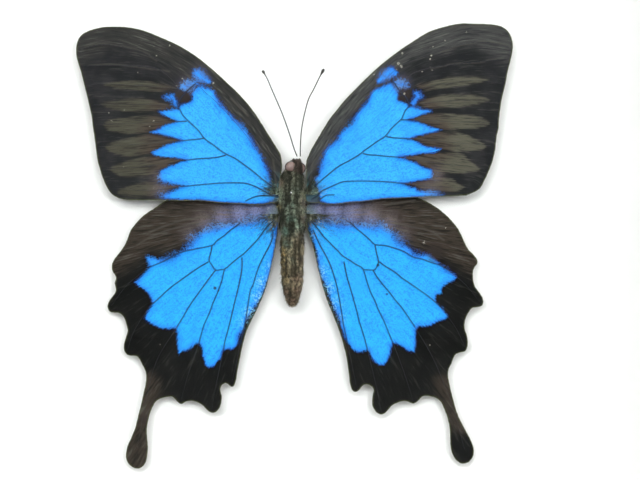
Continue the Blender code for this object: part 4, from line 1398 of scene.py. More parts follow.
RIGHT_FOREWING = Markings(
    blue=[
        [(318, 190), (314, 180), (318, 175), (320, 165), (322, 158), (324, 152), (328, 146), (333, 142),
         (337, 138), (340, 133), (344, 129), (349, 125), (352, 121), (354, 117), (357, 113), (360, 110),
         (363, 105), (366, 102), (368, 99), (370, 96), (371, 92), (375, 89), (379, 87.5), (383, 85.5),
         (388, 83.5), (392, 84), (394, 87), (397, 90), (399, 94), (399, 97), (397.5, 100), (400, 101),
         (404, 102.5), (407, 104), (409, 106), (413, 107), (416, 107.5), (422, 109), (427, 109.5),
         (432, 111), (428, 113), (422, 115), (416, 117.5), (411, 119.5), (408, 120.3), (415, 121.5),
         (424, 124), (430, 126.5), (435, 128), (441, 130), (437, 131.5), (432, 133), (426, 134.5),
         (415, 137), (411, 138.5), (407, 139), (410, 139.5), (415, 140.5), (420, 143.5), (424, 145.5),
         (430, 147), (441, 149), (439, 151), (436, 153), (430, 153.8), (424, 154), (416, 155), (410, 156),
         (399, 157.5), (405, 158.5), (410, 160.5), (415, 162.5), (420, 165.5), (428, 168.5), (431, 169.5),
         (432, 172), (431.8, 176), (431, 178.5), (426, 180), (420, 181), (414, 182), (408, 182.8),
         (401, 183.5), (405, 184.5), (409, 186), (416, 187.5), (417, 190), (422, 190.5), (432, 192),
         (437, 193.5), (443, 195.5), (430, 197), (415, 197.3), (395, 198.5), (380, 199.3), (365, 201.5),
         (350, 202.5), (340, 204), (330, 204.5), (322, 202), (320, 200)],
        [(390, 67), (385, 69.5), (381, 73), (377, 79), (376.5, 83), (380, 84), (385, 82), (391, 79),
         (394, 77.5), (397, 76), (398, 73), (397, 71), (395, 69), (393, 67.5)],
        [(393, 82), (397, 80.5), (402, 80.5), (406, 82), (409, 85), (408, 88.5), (404, 89.5), (399, 88.5),
         (395, 86)],
        [(413, 92), (416, 90.5), (420, 92), (422, 95), (424, 96.5), (421, 99), (418, 101), (416, 104),
         (414.5, 106.5), (411, 106), (410, 103), (411.5, 100), (414, 97), (412, 94)],
    ],
    rays=[
        [(425, 83), (440, 79.5), (448, 77.5), (465, 76.5), (485, 77.5), (490, 79.5), (480, 83), (470, 85),
         (460, 86.5), (450, 88), (432, 90), (424, 90), (415, 86)],
        [(417, 102), (432, 97), (440, 95.5), (450, 94.5), (470, 94.5), (478, 96), (486, 98), (490, 100.5),
         (482, 104), (474, 105.5), (464, 107), (448, 108), (432, 109), (424, 107), (420, 104)],
        [(411, 120), (415, 117.5), (422, 116), (430, 114), (440, 113.5), (460, 114), (470, 115), (482, 118),
         (489, 122), (487, 126), (480, 127.5), (470, 129), (450, 130), (440, 129), (432, 127), (424, 124),
         (415, 121)],
        [(408, 139), (412, 138), (420, 136), (430, 133.5), (440, 132), (458, 132.5), (466, 134.5),
         (474, 138), (480, 141), (484, 144), (486, 147), (482, 150), (475, 151), (456, 152), (441, 150),
         (432, 147.5), (424, 145.5), (416, 141)],
        [(401, 157.3), (415, 155.5), (425, 154), (436, 153), (446, 152.5), (456, 153), (464, 155),
         (468, 159), (474, 164), (480, 169), (476, 172), (468, 172.5), (448, 174), (434, 174), (432, 170),
         (424, 167), (415, 162.5), (408, 159.5)],
        [(403, 183.5), (415, 182), (425, 180), (432, 177), (448, 178), (454, 180), (457, 183), (464, 186.5),
         (460, 190.5), (452, 192), (444, 192), (436, 190.5), (430, 189.5), (420, 188), (412, 186)],
    ],
    dark_veins=[
        [(313.5, 188), (318, 183.5), (328, 175), (338, 167), (349, 161), (359, 155), (364, 151),
         (376, 142.5), (385, 136.5), (391, 129), (400, 120.5), (402, 118), (405, 111), (409, 106.5)],
        [(401, 120.3), (411, 120)],
        [(386, 136.8), (392, 138), (400, 138.5), (407, 138.8)],
        [(363, 153.8), (368, 155), (376, 155.5), (386, 156.5), (399, 157.5)],
        [(312, 199), (318, 195.5), (322, 191), (333, 186), (340, 183), (347, 181.5), (366, 181.3),
         (384, 181.8), (400, 183.3)],
        [(320, 199.5), (326, 195.5), (334, 195)],
        [(393, 82), (400, 92), (406, 98), (409, 106)],
    ],
    side_veins=[
        [(308, 178), (323, 157), (338, 134), (357, 110), (376, 90), (400, 67), (440, 51), (475, 42.5),
         (508, 47)],
        [(400, 93), (412, 74), (448, 65.5), (506, 59)],
        [(415, 90), (440, 84.5), (475, 80.5), (502, 84)],
        [(420, 104), (440, 102), (464, 101), (498, 103)],
        [(411, 120), (440, 121.5), (494, 123)],
        [(407, 138.8), (440, 141.5), (491, 146)],
        [(399, 157.5), (440, 163.5), (485, 169)],
        [(400, 183.3), (430, 186.5), (470, 188)],
    ],
    pale_veins=[
        [(440, 52), (450, 48.5), (458, 46), (474, 43), (484, 41.5), (500, 44), (512, 47.5)],
        [(430, 69), (440, 67), (456, 64), (464, 63.5), (480, 62.5), (490, 60), (504, 59)],
        [(310.5, 180), (311.5, 170), (313, 163), (316, 159)],
        [(378, 66), (393, 54), (412, 43)],
        [(450, 28), (475, 26.5), (500, 27)],
    ],
    soft=[(366, 101, 10, 0.6), (350, 123, 12, 0.7), (335, 141, 12, 0.7), (321, 163, 12, 0.7),
          (382, 86, 9, 0.3), (386, 75, 9, 1.0), (402, 85, 8, 1.3), (417, 97, 8, 0.9), (440, 195, 14, 0.9),
          (432, 111, 6, 0.3)],
    haze=[(401, 85, 8, 0.6), (386, 76, 8, 0.3), (436, 176, 7, 0.4), (430, 193, 10, 0.35),
          (312, 206, 7, 0.35)],
    worn=[(398, 64, 1.8, 1), (401, 66.8, 1.8, 1), (396.5, 70, 1, 0.9), (402, 54, 1.4, 1),
          (404, 94, 1.8, 0.9), (374, 75, 1.3, 0.8), (431, 56, 1.1, 1), (430, 59.5, 1, 0.9),
          (430, 68, 1, 0.9), (432, 70.5, 1, 0.8), (466, 32.5, 1.1, 1), (445, 41, 1, 0.9), (433, 47, 1, 0.9),
          (430, 48, 1, 0.8), (422, 72, 1, 0.8)],
    blotch=[(404, 95, 7, 1), (408, 92, 4, 0.8), (400, 98, 4, 0.8)],
    fields=[[(308, 178), (323, 157), (338, 134), (357, 110), (376, 90), (400, 67), (440, 51), (475, 46),
             (506, 62), (520, 35), (500, 18), (470, 16), (430, 26), (395, 42), (362, 68), (332, 103),
             (312, 138), (302, 165)]],
)

LEFT_HINDWING = Markings(
    blue=[
        [(276, 214), (265, 217), (255, 219), (245, 221.5), (235, 223.5), (225, 224.5), (215, 226.5),
         (207, 229), (200, 232.5), (194, 237), (190, 242), (186, 247), (180, 251.5), (174, 254.5),
         (168, 257), (163, 258.5), (157, 258.5), (152, 257), (147, 256.3), (146, 259.5), (148, 263),
         (149, 266), (147, 270), (143, 274), (138, 279), (133.5, 282), (137, 285.5), (143, 289.5),
         (148, 294), (151.5, 300), (152, 304), (149.5, 308.5), (146.5, 313), (144.5, 317), (144.5, 319.5),
         (149, 323), (155, 326), (160, 328.5), (166, 329.3), (171, 329.3), (176, 328.5), (176.5, 334),
         (176.8, 342), (177.5, 350), (178.5, 355), (182.5, 352), (187, 350.5), (191, 348), (195, 344.5),
         (199, 344), (201.5, 347.5), (202, 353), (203.5, 360), (205.5, 366), (210, 367.5), (214, 366),
         (216.5, 363), (220, 360), (222, 354.5), (223.5, 350.5), (228, 349.5), (232, 349), (236, 347),
         (238.5, 342), (239.5, 337), (242.5, 331), (245.5, 324), (248.5, 317), (253, 311), (257, 304.5),
         (260.5, 298), (264, 291), (267.5, 282), (270.5, 272), (273, 261), (275, 250), (276, 240),
         (277.5, 228)],
    ],
    rays=[],
    dark_veins=[
        [(240, 223), (235, 227), (230, 230.5), (225, 235), (220, 238.5), (216, 241.5), (212, 245.5),
         (195, 249), (178.4, 253), (165, 260.5), (147, 268)],
        [(212, 245.5), (211, 252), (209, 260), (212, 265), (215.5, 270), (222, 269.5), (224.5, 269.5)],
        [(273, 221), (268, 226), (263, 232), (258, 239), (252, 245.5), (244, 253.5), (238, 258), (232, 263),
         (227, 267.5), (224.5, 269.5), (222, 280), (220, 286), (217, 294), (213, 303), (209, 314),
         (204, 325), (200.5, 337), (199, 343)],
        [(208, 262), (198, 268), (185, 277), (170, 288), (158, 299), (149, 307)],
        [(215.5, 270), (208, 280), (200, 291), (190, 305), (183, 317), (176.5, 327.5)],
        [(242, 258), (242, 268), (240, 280), (237, 293), (234, 305), (231, 318), (228, 330), (225, 341),
         (223.5, 350)],
        [(273, 230), (272, 240), (266, 252), (260, 264), (256, 275), (253, 285), (250, 292), (246, 318),
         (240, 345)],
    ],
    side_veins=[
        [(147, 268), (126, 286), (111, 306)],
        [(149, 307), (134, 331), (127, 350)],
        [(176.5, 327.5), (156, 362), (145, 405), (137, 448)],
        [(199, 343), (188, 375), (181, 400)],
        [(223.5, 350), (216, 385), (212, 408)],
        [(240, 345), (236, 365), (232, 382)],
    ],
    pale_veins=[
        [(226, 222), (205, 222.5), (190, 224.5), (176, 228), (165, 231), (155, 235), (145, 240), (137, 245)],
        [(210, 217), (195, 218), (180, 221), (165, 226), (150, 232)],
    ],
    soft=[(250, 218, 18, 1.4), (215, 226, 14, 1.5), (192, 240, 13, 1.6), (170, 256, 12, 1.3),
          (147, 260, 8, 0.5), (272, 260, 12, 0.3), (262, 288, 12, 0.4), (250, 312, 12, 0.4),
          (240, 335, 8, 0.4), (276, 235, 12, 0.3)],
    haze=[(270, 210, 9, 0.9), (256, 211, 12, 1.0), (240, 213, 12, 1.0), (222, 217, 12, 0.8),
          (205, 223, 11, 0.6), (190, 233, 9, 0.35)],
    frost=[(262, 282, 6, 0.8), (257, 297, 6, 0.9), (250, 312, 6, 0.8), (268, 266, 5, 0.5),
           (243, 322, 5, 0.6), (273, 240, 4, 0.4)],
    worn=[(269, 209, 3, 0.5), (232, 235, 0.8, 0.7), (180, 262, 0.8, 0.7), (160, 345, 0.9, 0.8)],
    blotch=[(215, 288, 2.2, 0.8), (218.5, 290.5, 1.6, 0.7), (144, 420, 7, 0.7)],
    fields=[
        [(250, 207), (225, 212), (205, 220), (195, 230), (180, 244), (168, 250), (150, 251), (135, 262),
         (112, 275), (95, 262), (105, 240), (125, 222), (150, 208), (190, 200), (230, 199), (255, 202)],
        [(158, 380), (155, 405), (150, 432), (156, 455), (150, 478), (120, 478), (116, 455), (130, 428),
         (136, 400), (140, 375)],
        [(272, 280), (264, 292), (252, 314), (246, 338), (242, 352), (246, 356), (258, 330), (270, 306),
         (280, 284)],
    ],
)

RIGHT_HINDWING = Markings(
    blue=[
        [(310, 222), (316, 219), (322, 219.5), (330, 221), (340, 223), (350, 223.5), (360, 224.5),
         (370, 224), (380, 224), (385, 226), (390, 230), (395, 234), (400, 239), (405, 243), (410, 247.5),
         (414, 251), (418, 253), (424, 253.5), (430, 253), (433, 256), (436, 259.5), (440, 263.5),
         (445, 267), (449, 270.5), (453, 273), (456, 275.5), (457, 278), (454, 281), (450, 283), (446, 285),
         (443, 287), (442, 290), (441.5, 294), (437, 295), (436, 298), (436.5, 302), (440, 305.5),
         (443, 309), (447, 314), (447.5, 317), (445, 320), (440, 321.5), (436, 323), (430, 326), (424, 327),
         (420, 327), (416.5, 329), (416, 334), (416, 342), (415.5, 348), (414.5, 352), (408, 351.5),
         (404, 348), (400, 345.5), (396, 343.5), (393, 344), (391.5, 347), (390.7, 352), (389.5, 357),
         (387, 362), (384, 365.5), (380, 365.5), (376, 363.5), (372, 359.5), (370, 355), (368.5, 351),
         (366, 350.5), (362, 352), (357, 352), (353.5, 350), (351, 347.5), (349, 345), (345, 340),
         (343, 334), (341, 327), (338.5, 319), (335.5, 312), (332.5, 305), (329.5, 298), (327.5, 291),
         (324, 283), (321, 276), (319, 270), (317.5, 262), (316.5, 253), (314, 245), (312, 238), (310, 231),
         (309, 226)],
    ],
    rays=[],
    dark_veins=[
        [(350, 222), (356, 228), (362, 233), (369, 239), (375, 244.5), (385, 245.5), (394, 248),
         (404, 251.5), (413, 257), (422, 259), (430, 262), (440, 265), (447, 269)],
        [(375, 245), (376.5, 253), (378, 259), (378.5, 262), (377, 266), (375, 269.5), (371, 270),
         (363, 269.5)],
        [(312, 222), (318, 229), (323, 236), (328, 241), (338, 251), (343, 256), (350, 260.5), (357, 265),
         (363, 269), (367, 282), (371, 293), (375, 301), (378, 309), (382, 317), (386, 326), (390, 336),
         (394, 345)],
        [(378, 261), (385, 266), (396, 273), (402, 278), (408, 282), (421, 291), (428, 296), (440, 306)],
        [(373, 270), (377, 277), (384, 286), (390, 293), (396, 301), (402, 308), (411, 321), (415, 327)],
        [(344, 262), (346.5, 275), (349, 284), (352, 294), (357, 312), (359, 321), (362, 330), (365, 340),
         (367.5, 350)],
        [(313, 230), (320, 245), (327, 258), (331, 267), (335, 279), (338, 292), (340, 303), (342, 315),
         (343.5, 325), (348, 345)],
    ],
    side_veins=[
        [(447, 269), (465, 284), (480, 302)],
        [(440, 306), (456, 328), (465, 347)],
        [(415, 327), (434, 360), (452, 405), (465, 450)],
        [(394, 345), (405, 375), (413, 400)],
        [(367.5, 350), (376, 385), (381, 410)],
        [(348, 345), (352, 365), (356, 385)],
    ],
    pale_veins=[
        [(385, 222), (400, 224), (412, 227), (424, 229), (432, 232), (438, 236), (444, 240)],
        [(385, 205), (400, 202.5), (415, 200)],
    ],
    soft=[(340, 220, 18, 1.4), (375, 226, 15, 1.5), (398, 240, 13, 1.6), (415, 253, 10, 1.2),
          (447, 269, 8, 0.5), (318, 262, 12, 0.3), (328, 288, 12, 0.4), (338, 312, 12, 0.4),
          (346, 335, 8, 0.4), (312, 238, 12, 0.3)],
    haze=[(318, 210, 9, 1.0), (334, 211, 12, 1.0), (352, 213, 12, 0.95), (370, 217, 12, 0.8),
          (388, 223, 11, 0.6), (402, 233, 9, 0.35)],
    frost=[(322, 272, 6, 0.8), (329, 288, 6, 0.8), (335, 303, 6, 0.7), (316, 254, 5, 0.5),
           (341, 318, 5, 0.5), (312, 236, 4, 0.5), (308, 212, 4, 0.9)],
    # the whitish spot at (424, 242.5) is a painted highlight on the dark ground; the other spots are rubbed
    # scales
    worn=[(308, 211, 2.6, 0.6), (424, 242.5, 3.4, 0.55), (446, 228, 1, 0.8), (430, 345, 0.9, 0.8)],
    blotch=[(378, 265, 1.8, 0.9), (387, 294, 1.4, 0.8), (435, 252, 14, 0.7), (400, 217, 5, 0.6)],
    fields=[
        [(335, 206), (360, 214), (382, 221), (396, 231), (412, 245), (420, 249), (438, 252), (452, 262),
         (476, 275), (492, 262), (482, 240), (462, 222), (438, 208), (400, 200), (360, 199), (332, 202)],
        [(436, 380), (444, 405), (452, 424), (462, 432), (474, 424), (468, 415), (458, 398), (452, 378)],
        [(318, 272), (326, 290), (335, 312), (342, 334), (346, 350), (340, 352), (330, 326), (318, 300),
         (310, 278)],
    ],
)


@dataclass(frozen=True)
class Section:
    """A turned part of the body: (y, half width) in pixels along its axis, and its rise at each end."""

    profile: Points
    start_rise: float
    end_rise: float
    depth: float
    rings: int = 0
    ring_dip: float = 0.06
    ring_width: float = 0.12
    middle: float = BODY_MIDDLE

    def width(self, y: np.ndarray) -> np.ndarray:
        """The half width in pixels at places along the axis."""
        curve = smooth_line(np.array(self.profile, float), False, 6)
        width = np.interp(y, curve[:, 0], np.maximum(curve[:, 1], 0))
        if self.rings:
            first, last = self.profile[0][0], self.profile[-1][0]
            phase = np.abs(((y - first) / (last - first) * self.rings) % 1 - 0.5)
            width *= 1 - self.ring_dip * np.exp(-((0.5 - phase) / self.ring_width) ** 2)
        return width

    def surface(self, share: np.ndarray, turn: np.ndarray) -> np.ndarray:
        """Places on the skin.

        Args:
            share: how far along the axis each is, from 0 to 1.
            turn: the angle round the axis, 0 towards +X and -pi/2 towards the viewer.

        Returns:
            One (x, y, z) row each, in metres.
        """
        first, last = self.profile[0][0], self.profile[-1][0]
        y = first + (last - first) * share
        radius = self.width(y) * PIXEL
        rise = self.start_rise + (self.end_rise - self.start_rise) * share
        middle = at(self.middle, 0).x
        height = MIDDLE_HEIGHT - (y - MIDDLE_PIXEL[1]) * PIXEL
        front = BOARD_Y - rise + radius * self.depth * np.sin(turn)
        return np.stack([middle + radius * np.cos(turn), front, height], 1)


THORAX = Section(
    [(168, 0), (170.5, 6.5), (176, 10), (185, 11.2), (195, 11.9), (207, 11.9), (218, 11.5), (227, 10.8),
     (235, 8.8), (240, 5), (242, 0)],
    4.6 * MM, 4.4 * MM, 1.05,
)
ABDOMEN = Section(
    [(226, 0), (228.5, 7), (233, 10.8), (242, 11.8), (255, 11.2), (275, 10.8), (287, 9.4), (296, 6.6),
     (302, 3.8), (305, 0)],
    4.3 * MM, 3.5 * MM, 1.0, rings=8,
)
SKIN_COLUMNS = 72
SKIN_ROWS = 96
DOWN = (0.0, 0.0, -1.0)
HAIR_SHARES = (0, 0, 0, 0.5, 0.5, 0.5, 1.0)
# shade darkens the hair's tone: painted shade
TINT_LIGHT = {"gold": 0.7, "teal": 0.25, "rose": 0.12, "shade": -1.0}
CLUMPS = ((1.9, 0.45 * MM, 3.0 * MM, 5), (0.9, 1.9 * MM, 2.6 * MM, 6))


@dataclass(frozen=True)
class Coat:
    """A patch of hair.

    Length is the shortest and the longest, lift how far the hair stands up from the skin, lean which
    way it lies, spread how much that varies, and bright what is added to its tone.
    """

    name: str
    count: int
    length: Pair
    radius: float
    lift: float
    lean: Triple
    spread: float
    seed: int
    bright: float = 0.0


THORAX_COATS = (
    (Coat("thorax_hair", 9000, (1.1 * MM, 2.4 * MM), 0.036 * MM, 0.28, DOWN, 0.1, 11), (0.04, 0.99)),
    (Coat("collar_hair", 2400, (0.7 * MM, 1.5 * MM), 0.034 * MM, 0.5, (0.0, -0.1, -0.5), 0.3, 12, -0.12),
     (0.02, 0.3)),
    (Coat("thorax_tufts", 900, (1.2 * MM, 2.6 * MM), 0.055 * MM, 0.6, DOWN, 0.45, 15, 0.15), (0.1, 0.99)),
)
ABDOMEN_COATS = (
    (Coat("abdomen_hair", 7200, (0.6 * MM, 1.4 * MM), 0.038 * MM, 0.22, DOWN, 0.2, 14), (0.0, 0.985)),
    (Coat("abdomen_tufts", 700, (0.8 * MM, 1.8 * MM), 0.05 * MM, 0.45, DOWN, 0.4, 16, 0.1), (0.0, 0.97)),
    (Coat("abdomen_tip_hair", 600, (0.7 * MM, 1.7 * MM), 0.045 * MM, 0.4, DOWN, 0.5, 17), (0.84, 0.99)),
)
HEAD_COAT = Coat("head_hair", 2700, (0.5 * MM, 1.3 * MM), 0.032 * MM, 0.7, (0.2, 0.0, 0.3), 0.35, 13, -0.1)


@dataclass
class HairBuilder:
    """Makes a coat of hair as one mesh, each hair a three-sided spike with a bend in it."""

    coat: Coat
    waist: float = 0.72
    droop: float = -0.25
    sway: float = 0.12
    width_range: Pair = (0.7, 1.3)
    base_tone: float = 0.33
    own_tone: float = 0.4

    def build(self, roots: np.ndarray, normals: np.ndarray, tints: dict[str, np.ndarray],
              finish: bpy.types.Material, ways: np.ndarray | None = None) -> bpy.types.Object:
        """Builds the coat.

        Args:
            roots: where each hair starts.
            normals: the skin's outward direction there.
            tints: how much of each tint each hair has, the shade tint being painted shade.
            finish: the material.
            ways: which way each hair lies, where that isn't the coat's own lean.

        Returns:
            The hairs, as one object.
        """
        coat, count = self.coat, len(roots)
        chance = np.random.default_rng(coat.seed)
        if ways is None:
            ways = np.array(coat.lean) + chance.normal(0, coat.spread, (count, 3))
        way = ways + coat.lift * normals
        way /= np.linalg.norm(way, axis=1, keepdims=True)
        length = chance.uniform(*coat.length, count)[:, None]
        radius = coat.radius * chance.uniform(*self.width_range, count)[:, None]
        side = np.cross(way, normals + 0.01)
        side /= np.linalg.norm(side, axis=1, keepdims=True)
        up = np.cross(side, way)
        droop = self.droop * length * normals + self.sway * length * side * chance.normal(0, 1, (count, 1))
        rings = []
        for share, wide in ((0.0, 1.0), (0.5, self.waist)):
            middle = roots + way * length * share + droop * share ** 2
            for corner in range(3):
                angle = 2 * math.pi * corner / 3
                rings.append(middle + wide * radius * (math.cos(angle) * side + math.sin(angle) * up))
        rings.append(roots + way * length + droop)
        corners = np.stack(rings, 1).reshape(-1, 3)
        pattern = [(0, 2, 1)]
        for a in range(3):
            b = (a + 1) % 3
            pattern += [(a, b, 3 + b, 3 + a), (3 + a, 3 + b, 6)]
        each = len(HAIR_SHARES)
        faces = [tuple(each * hair + corner for corner in face) for hair in range(count) for face in pattern]
        mesh = bpy.data.meshes.new(coat.name)
        mesh.from_pydata(corners.tolist(), [], faces)
        piece = placed(coat.name, mesh)
        mesh.shade_smooth()
        mesh.materials.append(finish)
        clump = sum(amount * value_noise(roots, wide, long, seed) for amount, wide, long, seed in CLUMPS)
        tone = self.base_tone + clump + self.own_tone * (chance.beta(1.3, 2.0, count) - 0.4) + coat.bright
        # the shade tint lowers the tone: painted shade
        for name, light in TINT_LIGHT.items():
            tone = tone + light * tints[name]
        set_field(piece, "tone", np.repeat(np.clip(tone, 0, 1), each))
        set_field(piece, "share", np.tile(HAIR_SHARES, count))
        for name in HUES:
            set_field(piece, name, np.repeat(tints[name], each))
        return piece


@dataclass(frozen=True)
class RootHair:
    """Hair that fans out from where a wing joins the body, lying on the wing."""

    name: str
    rise: WingRise
    origin: Pair
    fan: Pair
    seed: int
    reach: float = 2.1 * MM
    count: int = 620
    length: Pair = (0.9 * MM, 2.2 * MM)
    radius: float = 0.034 * MM
    lift: float = 0.03
    spread: float = 0.07
    bright: float = -0.3
    clearance: float = 0.05 * MM

    def build(self, tints: Callable[[np.ndarray], dict[str, np.ndarray]],
              finish: bpy.types.Material) -> bpy.types.Object:
        """Builds the hairs.

        Args:
            tints: gives each hair's tints from its root.
            finish: the material.

        Returns:
            The hairs, as one object.
        """
        chance = np.random.default_rng(self.seed)
        angle = np.radians(chance.uniform(*self.fan, self.count))
        gone = np.abs(chance.normal(0, self.reach, self.count))
        way = np.stack([np.cos(angle), np.zeros(self.count), np.sin(angle)], 1)
        roots = np.array(at(*self.origin)) + way * gone[:, None]
        roots[:, 1] = BOARD_Y - self.rise.level(roots[:, [0, 2]]) - self.clearance
        normals = np.tile([0.0, -1.0, 0.0], (self.count, 1))
        coat = Coat(
            self.name, self.count, self.length, self.radius, self.lift, (0, 0, 0), 0.0, self.seed, self.bright
        )
        ways = way + chance.normal(0, self.spread, way.shape)
        return HairBuilder(coat).build(roots, normals, tints(roots), finish, ways)


ROOT_HAIRS = (
    RootHair("forewing_left_root_hair", FOREWING_RISE, (281, 194), (118, 186), 31),
    RootHair("forewing_right_root_hair", FOREWING_RISE, (304, 194), (-6, 62), 32),
    RootHair("hindwing_left_root_hair", HINDWING_RISE, (279, 214), (180, 258), 33, 3.2 * MM, 760),
    RootHair("hindwing_right_root_hair", HINDWING_RISE, (306, 214), (-78, 0), 34, 3.2 * MM, 760),
)


TINTS = {
    "teal": [(272, 190, 9, 0.7), (313, 190, 9, 0.6), (276, 216, 5, 0.4), (291, 216, 5, 1.1),
             (286, 229, 5, 1.1), (290, 203, 6, 0.6), (297, 188, 4, 0.4), (287, 242, 5, 0.9),
             (298, 222, 4, 0.5), (294, 258, 3, 0.5)],
    "gold": [(283.5, 248, 3.4, 1), (284, 254, 3.4, 1.1), (284.5, 260, 3.2, 1.1), (285, 266, 3, 1.1),
             (285.5, 272, 3, 1), (286.5, 279, 2.6, 0.8), (281, 204, 2.8, 0.8), (302, 192, 2.6, 0.5)],
    "rose": [(288, 291, 6, 1), (292, 298, 6, 1), (297, 289, 6, 0.9), (297, 276, 6, 0.9), (301, 258, 5, 0.8),
             (300, 234, 6, 0.9), (303, 216, 4, 1), (303, 200, 4, 1), (282, 181, 5, 1), (304, 184, 4, 0.9),
             (290, 170, 5, 0.6), (281, 218, 5, 0.8), (281, 230, 4, 0.7)],
    # painted shade: darker hair where the head meets the thorax, along the body's right side and in the
    # creases between its parts
    "shade": [(288, 177, 6, 0.3), (297, 178, 7, 0.35), (290, 266, 2.6, 0.4), (299, 250, 5, 0.3),
              (300, 268, 4, 0.3), (296, 232, 5, 0.25), (285, 211, 2.5, 0.25), (300, 210, 2.5, 0.3),
              (289, 284, 2.5, 0.3),
              (297, 300, 4, 0.25)],
}


@dataclass
class Body:
    """Thorax, abdomen and head with eyes, palps and tongue, the folded legs, and the coat of hair."""

    effects: Effects
    head_place: Pair = (295.8, 168.8)
    head_rise: float = 4.9 * MM
    head_size: Triple = (2.05 * MM, 1.9 * MM, 1.8 * MM)
    eye_places: Sequence[Triple] = ((291.0, 167.5, 5.5 * MM), (299.9, 168.6, 4.7 * MM))
    eye_radius: float = 1.5 * MM
    palp_places: Points = ((293.6, 163), (299.6, 163))
    palp_rise: float = 3.9 * MM
    palp_size: Triple = (0.5 * MM, 0.7 * MM, 1.15 * MM)
    tongue_rise: float = 3.4 * MM
    tongue_radius: float = 0.12 * MM
    tongue_reach: float = 0.75 * MM
    tongue_wind: float = 0.5 * MM
    tongue_turns: float = 1.8
    tongue_steps: int = 70
    skin_lump: float = 0.9 * MM
    skin_swell: float = 0.4 * MM
    skin_level: float = 0.65
    spine_radius: float = 0.04 * MM
    spine_reach: Triple = (0.25, -0.06, -0.3)
    hair_spread: float = 0.95
    hair_sink: float = 0.04 * MM
    tint_range: Pair = (0.5, 1.2)
    leg_radius: float = 0.24 * MM
    leg_routes: Sequence[Sequence[Triple]] = (
        ((289, 186, 2.6), (281, 178, 1.2), (286, 168, 0.8), (291, 160, 0.8)),
        ((288.5, 200, 2.6), (278, 206, 1.2), (283, 219, 0.8), (289, 228, 0.8)),
        ((289, 214, 2.6), (279.5, 224, 1.2), (284, 240, 0.8), (288, 254, 0.8)),
    )

    def skin(self, section: Section, name: str, finish: bpy.types.Material) -> bpy.types.Object:
        """Shapes one turned part from a sphere.

        Args:
            section: the part's form.
            name: its name.
            finish: the material.

        Returns:
            The part.
        """
        bpy.ops.mesh.primitive_uv_sphere_add(segments=SKIN_COLUMNS, ring_count=SKIN_ROWS, radius=1)
        piece = named(name)
        ball = vertex_places(piece)
        share = (1 - ball[:, 2]) / 2
        set_places(piece, section.surface(share, np.arctan2(ball[:, 1], ball[:, 0])))
        lumps = bpy.data.textures.new(f"{name}_lumps", "CLOUDS")
        lumps.noise_scale = self.skin_lump
        swell = piece.modifiers.new("lumps", "DISPLACE")
        swell.texture = lumps
        swell.texture_coords = "LOCAL"
        swell.strength = self.skin_swell
        swell.mid_level = self.skin_level
        finish_modifiers(piece)
        piece.data.shade_smooth()
        piece.data.materials.append(finish)
        return piece

    def ball(self, name: str, place: Vector, size: Triple, finish: bpy.types.Material) -> bpy.types.Object:
        """Adds a smooth ball of three half sizes."""
        bpy.ops.mesh.primitive_uv_sphere_add(segments=48, ring_count=32, radius=1, location=place)
        bpy.context.object.scale = size
        piece = named(name)
        piece.data.shade_smooth()
        piece.data.materials.append(finish)
        return piece

    def eye(self, number: int, place: Vector, finish: bpy.types.Material) -> bpy.types.Object:
        """Makes an eye that stores how near its rim a place is, as seen from the front, for the painted shade
        and highlight of its finish.
        """
        piece = self.ball(f"eye_{number}", place, (self.eye_radius,) * 3, finish)
        gap = vertex_places(piece) - np.array(place)
        set_field(piece, "rim", np.hypot(gap[:, 0], gap[:, 2]) / self.eye_radius)
        return piece

    def legs(self, finish: bpy.types.Material) -> bpy.types.Object:
        """Makes six folded legs with spines along their shins."""
        lines, spines = [], []
        for route in self.leg_routes:
            for side in (-1, 1):
                knots = np.array([
                    at(BODY_MIDDLE + side * (BODY_MIDDLE - x), y, rise * MM) for x, y, rise in route
                ])
                curve = smooth_line(knots, False, 8)
                lines.append([Vector(point) for point in curve])
                for i in range(6, len(curve) - 2, 2):
                    root = Vector(curve[i])
                    out, front, down = self.spine_reach
                    tip = root + Vector((out * side * (-1) ** i, front, down)) * MM
                    spines.append([root, root.lerp(tip, 0.5), tip])
        legs = tubes("legs", lines, self.leg_radius, self.leg_swell)
        legs.data.materials.append(finish)
        pricks = tubes("spines", spines, self.spine_radius, lambda share: 1 - 0.8 * share, sides=1)
        pricks.data.materials.append(finish)
        return join("legs", [legs, pricks])

    def leg_swell(self, share: float) -> float:
        """A leg's thickness: thick thigh, thin at the knee, thinner foot with its joints."""
        joint = 0.1 * math.cos(share * 60) if share > 0.6 else 0.0
        return 1.15 - 0.6 * share + 0.18 * math.sin(share * 9) + joint

    def tongue(self, finish: bpy.types.Material) -> bpy.types.Object:
        """Makes the coiled tongue under the head."""
        middle = at(*self.head_place, self.tongue_rise) + Vector((0, 0, self.tongue_reach))
        coil = []
        for i in range(self.tongue_steps):
            share = i / (self.tongue_steps - 1)
            angle = (0.1 + self.tongue_turns * share) * 2 * math.pi
            radius = self.tongue_reach - self.tongue_wind * share
            coil.append(middle + radius * Vector((0.1 * share, math.cos(angle), math.sin(angle))))
        piece = tubes("tongue", [coil], self.tongue_radius, lambda share: 1 - 0.5 * share)
        piece.data.materials.append(finish)
        return piece

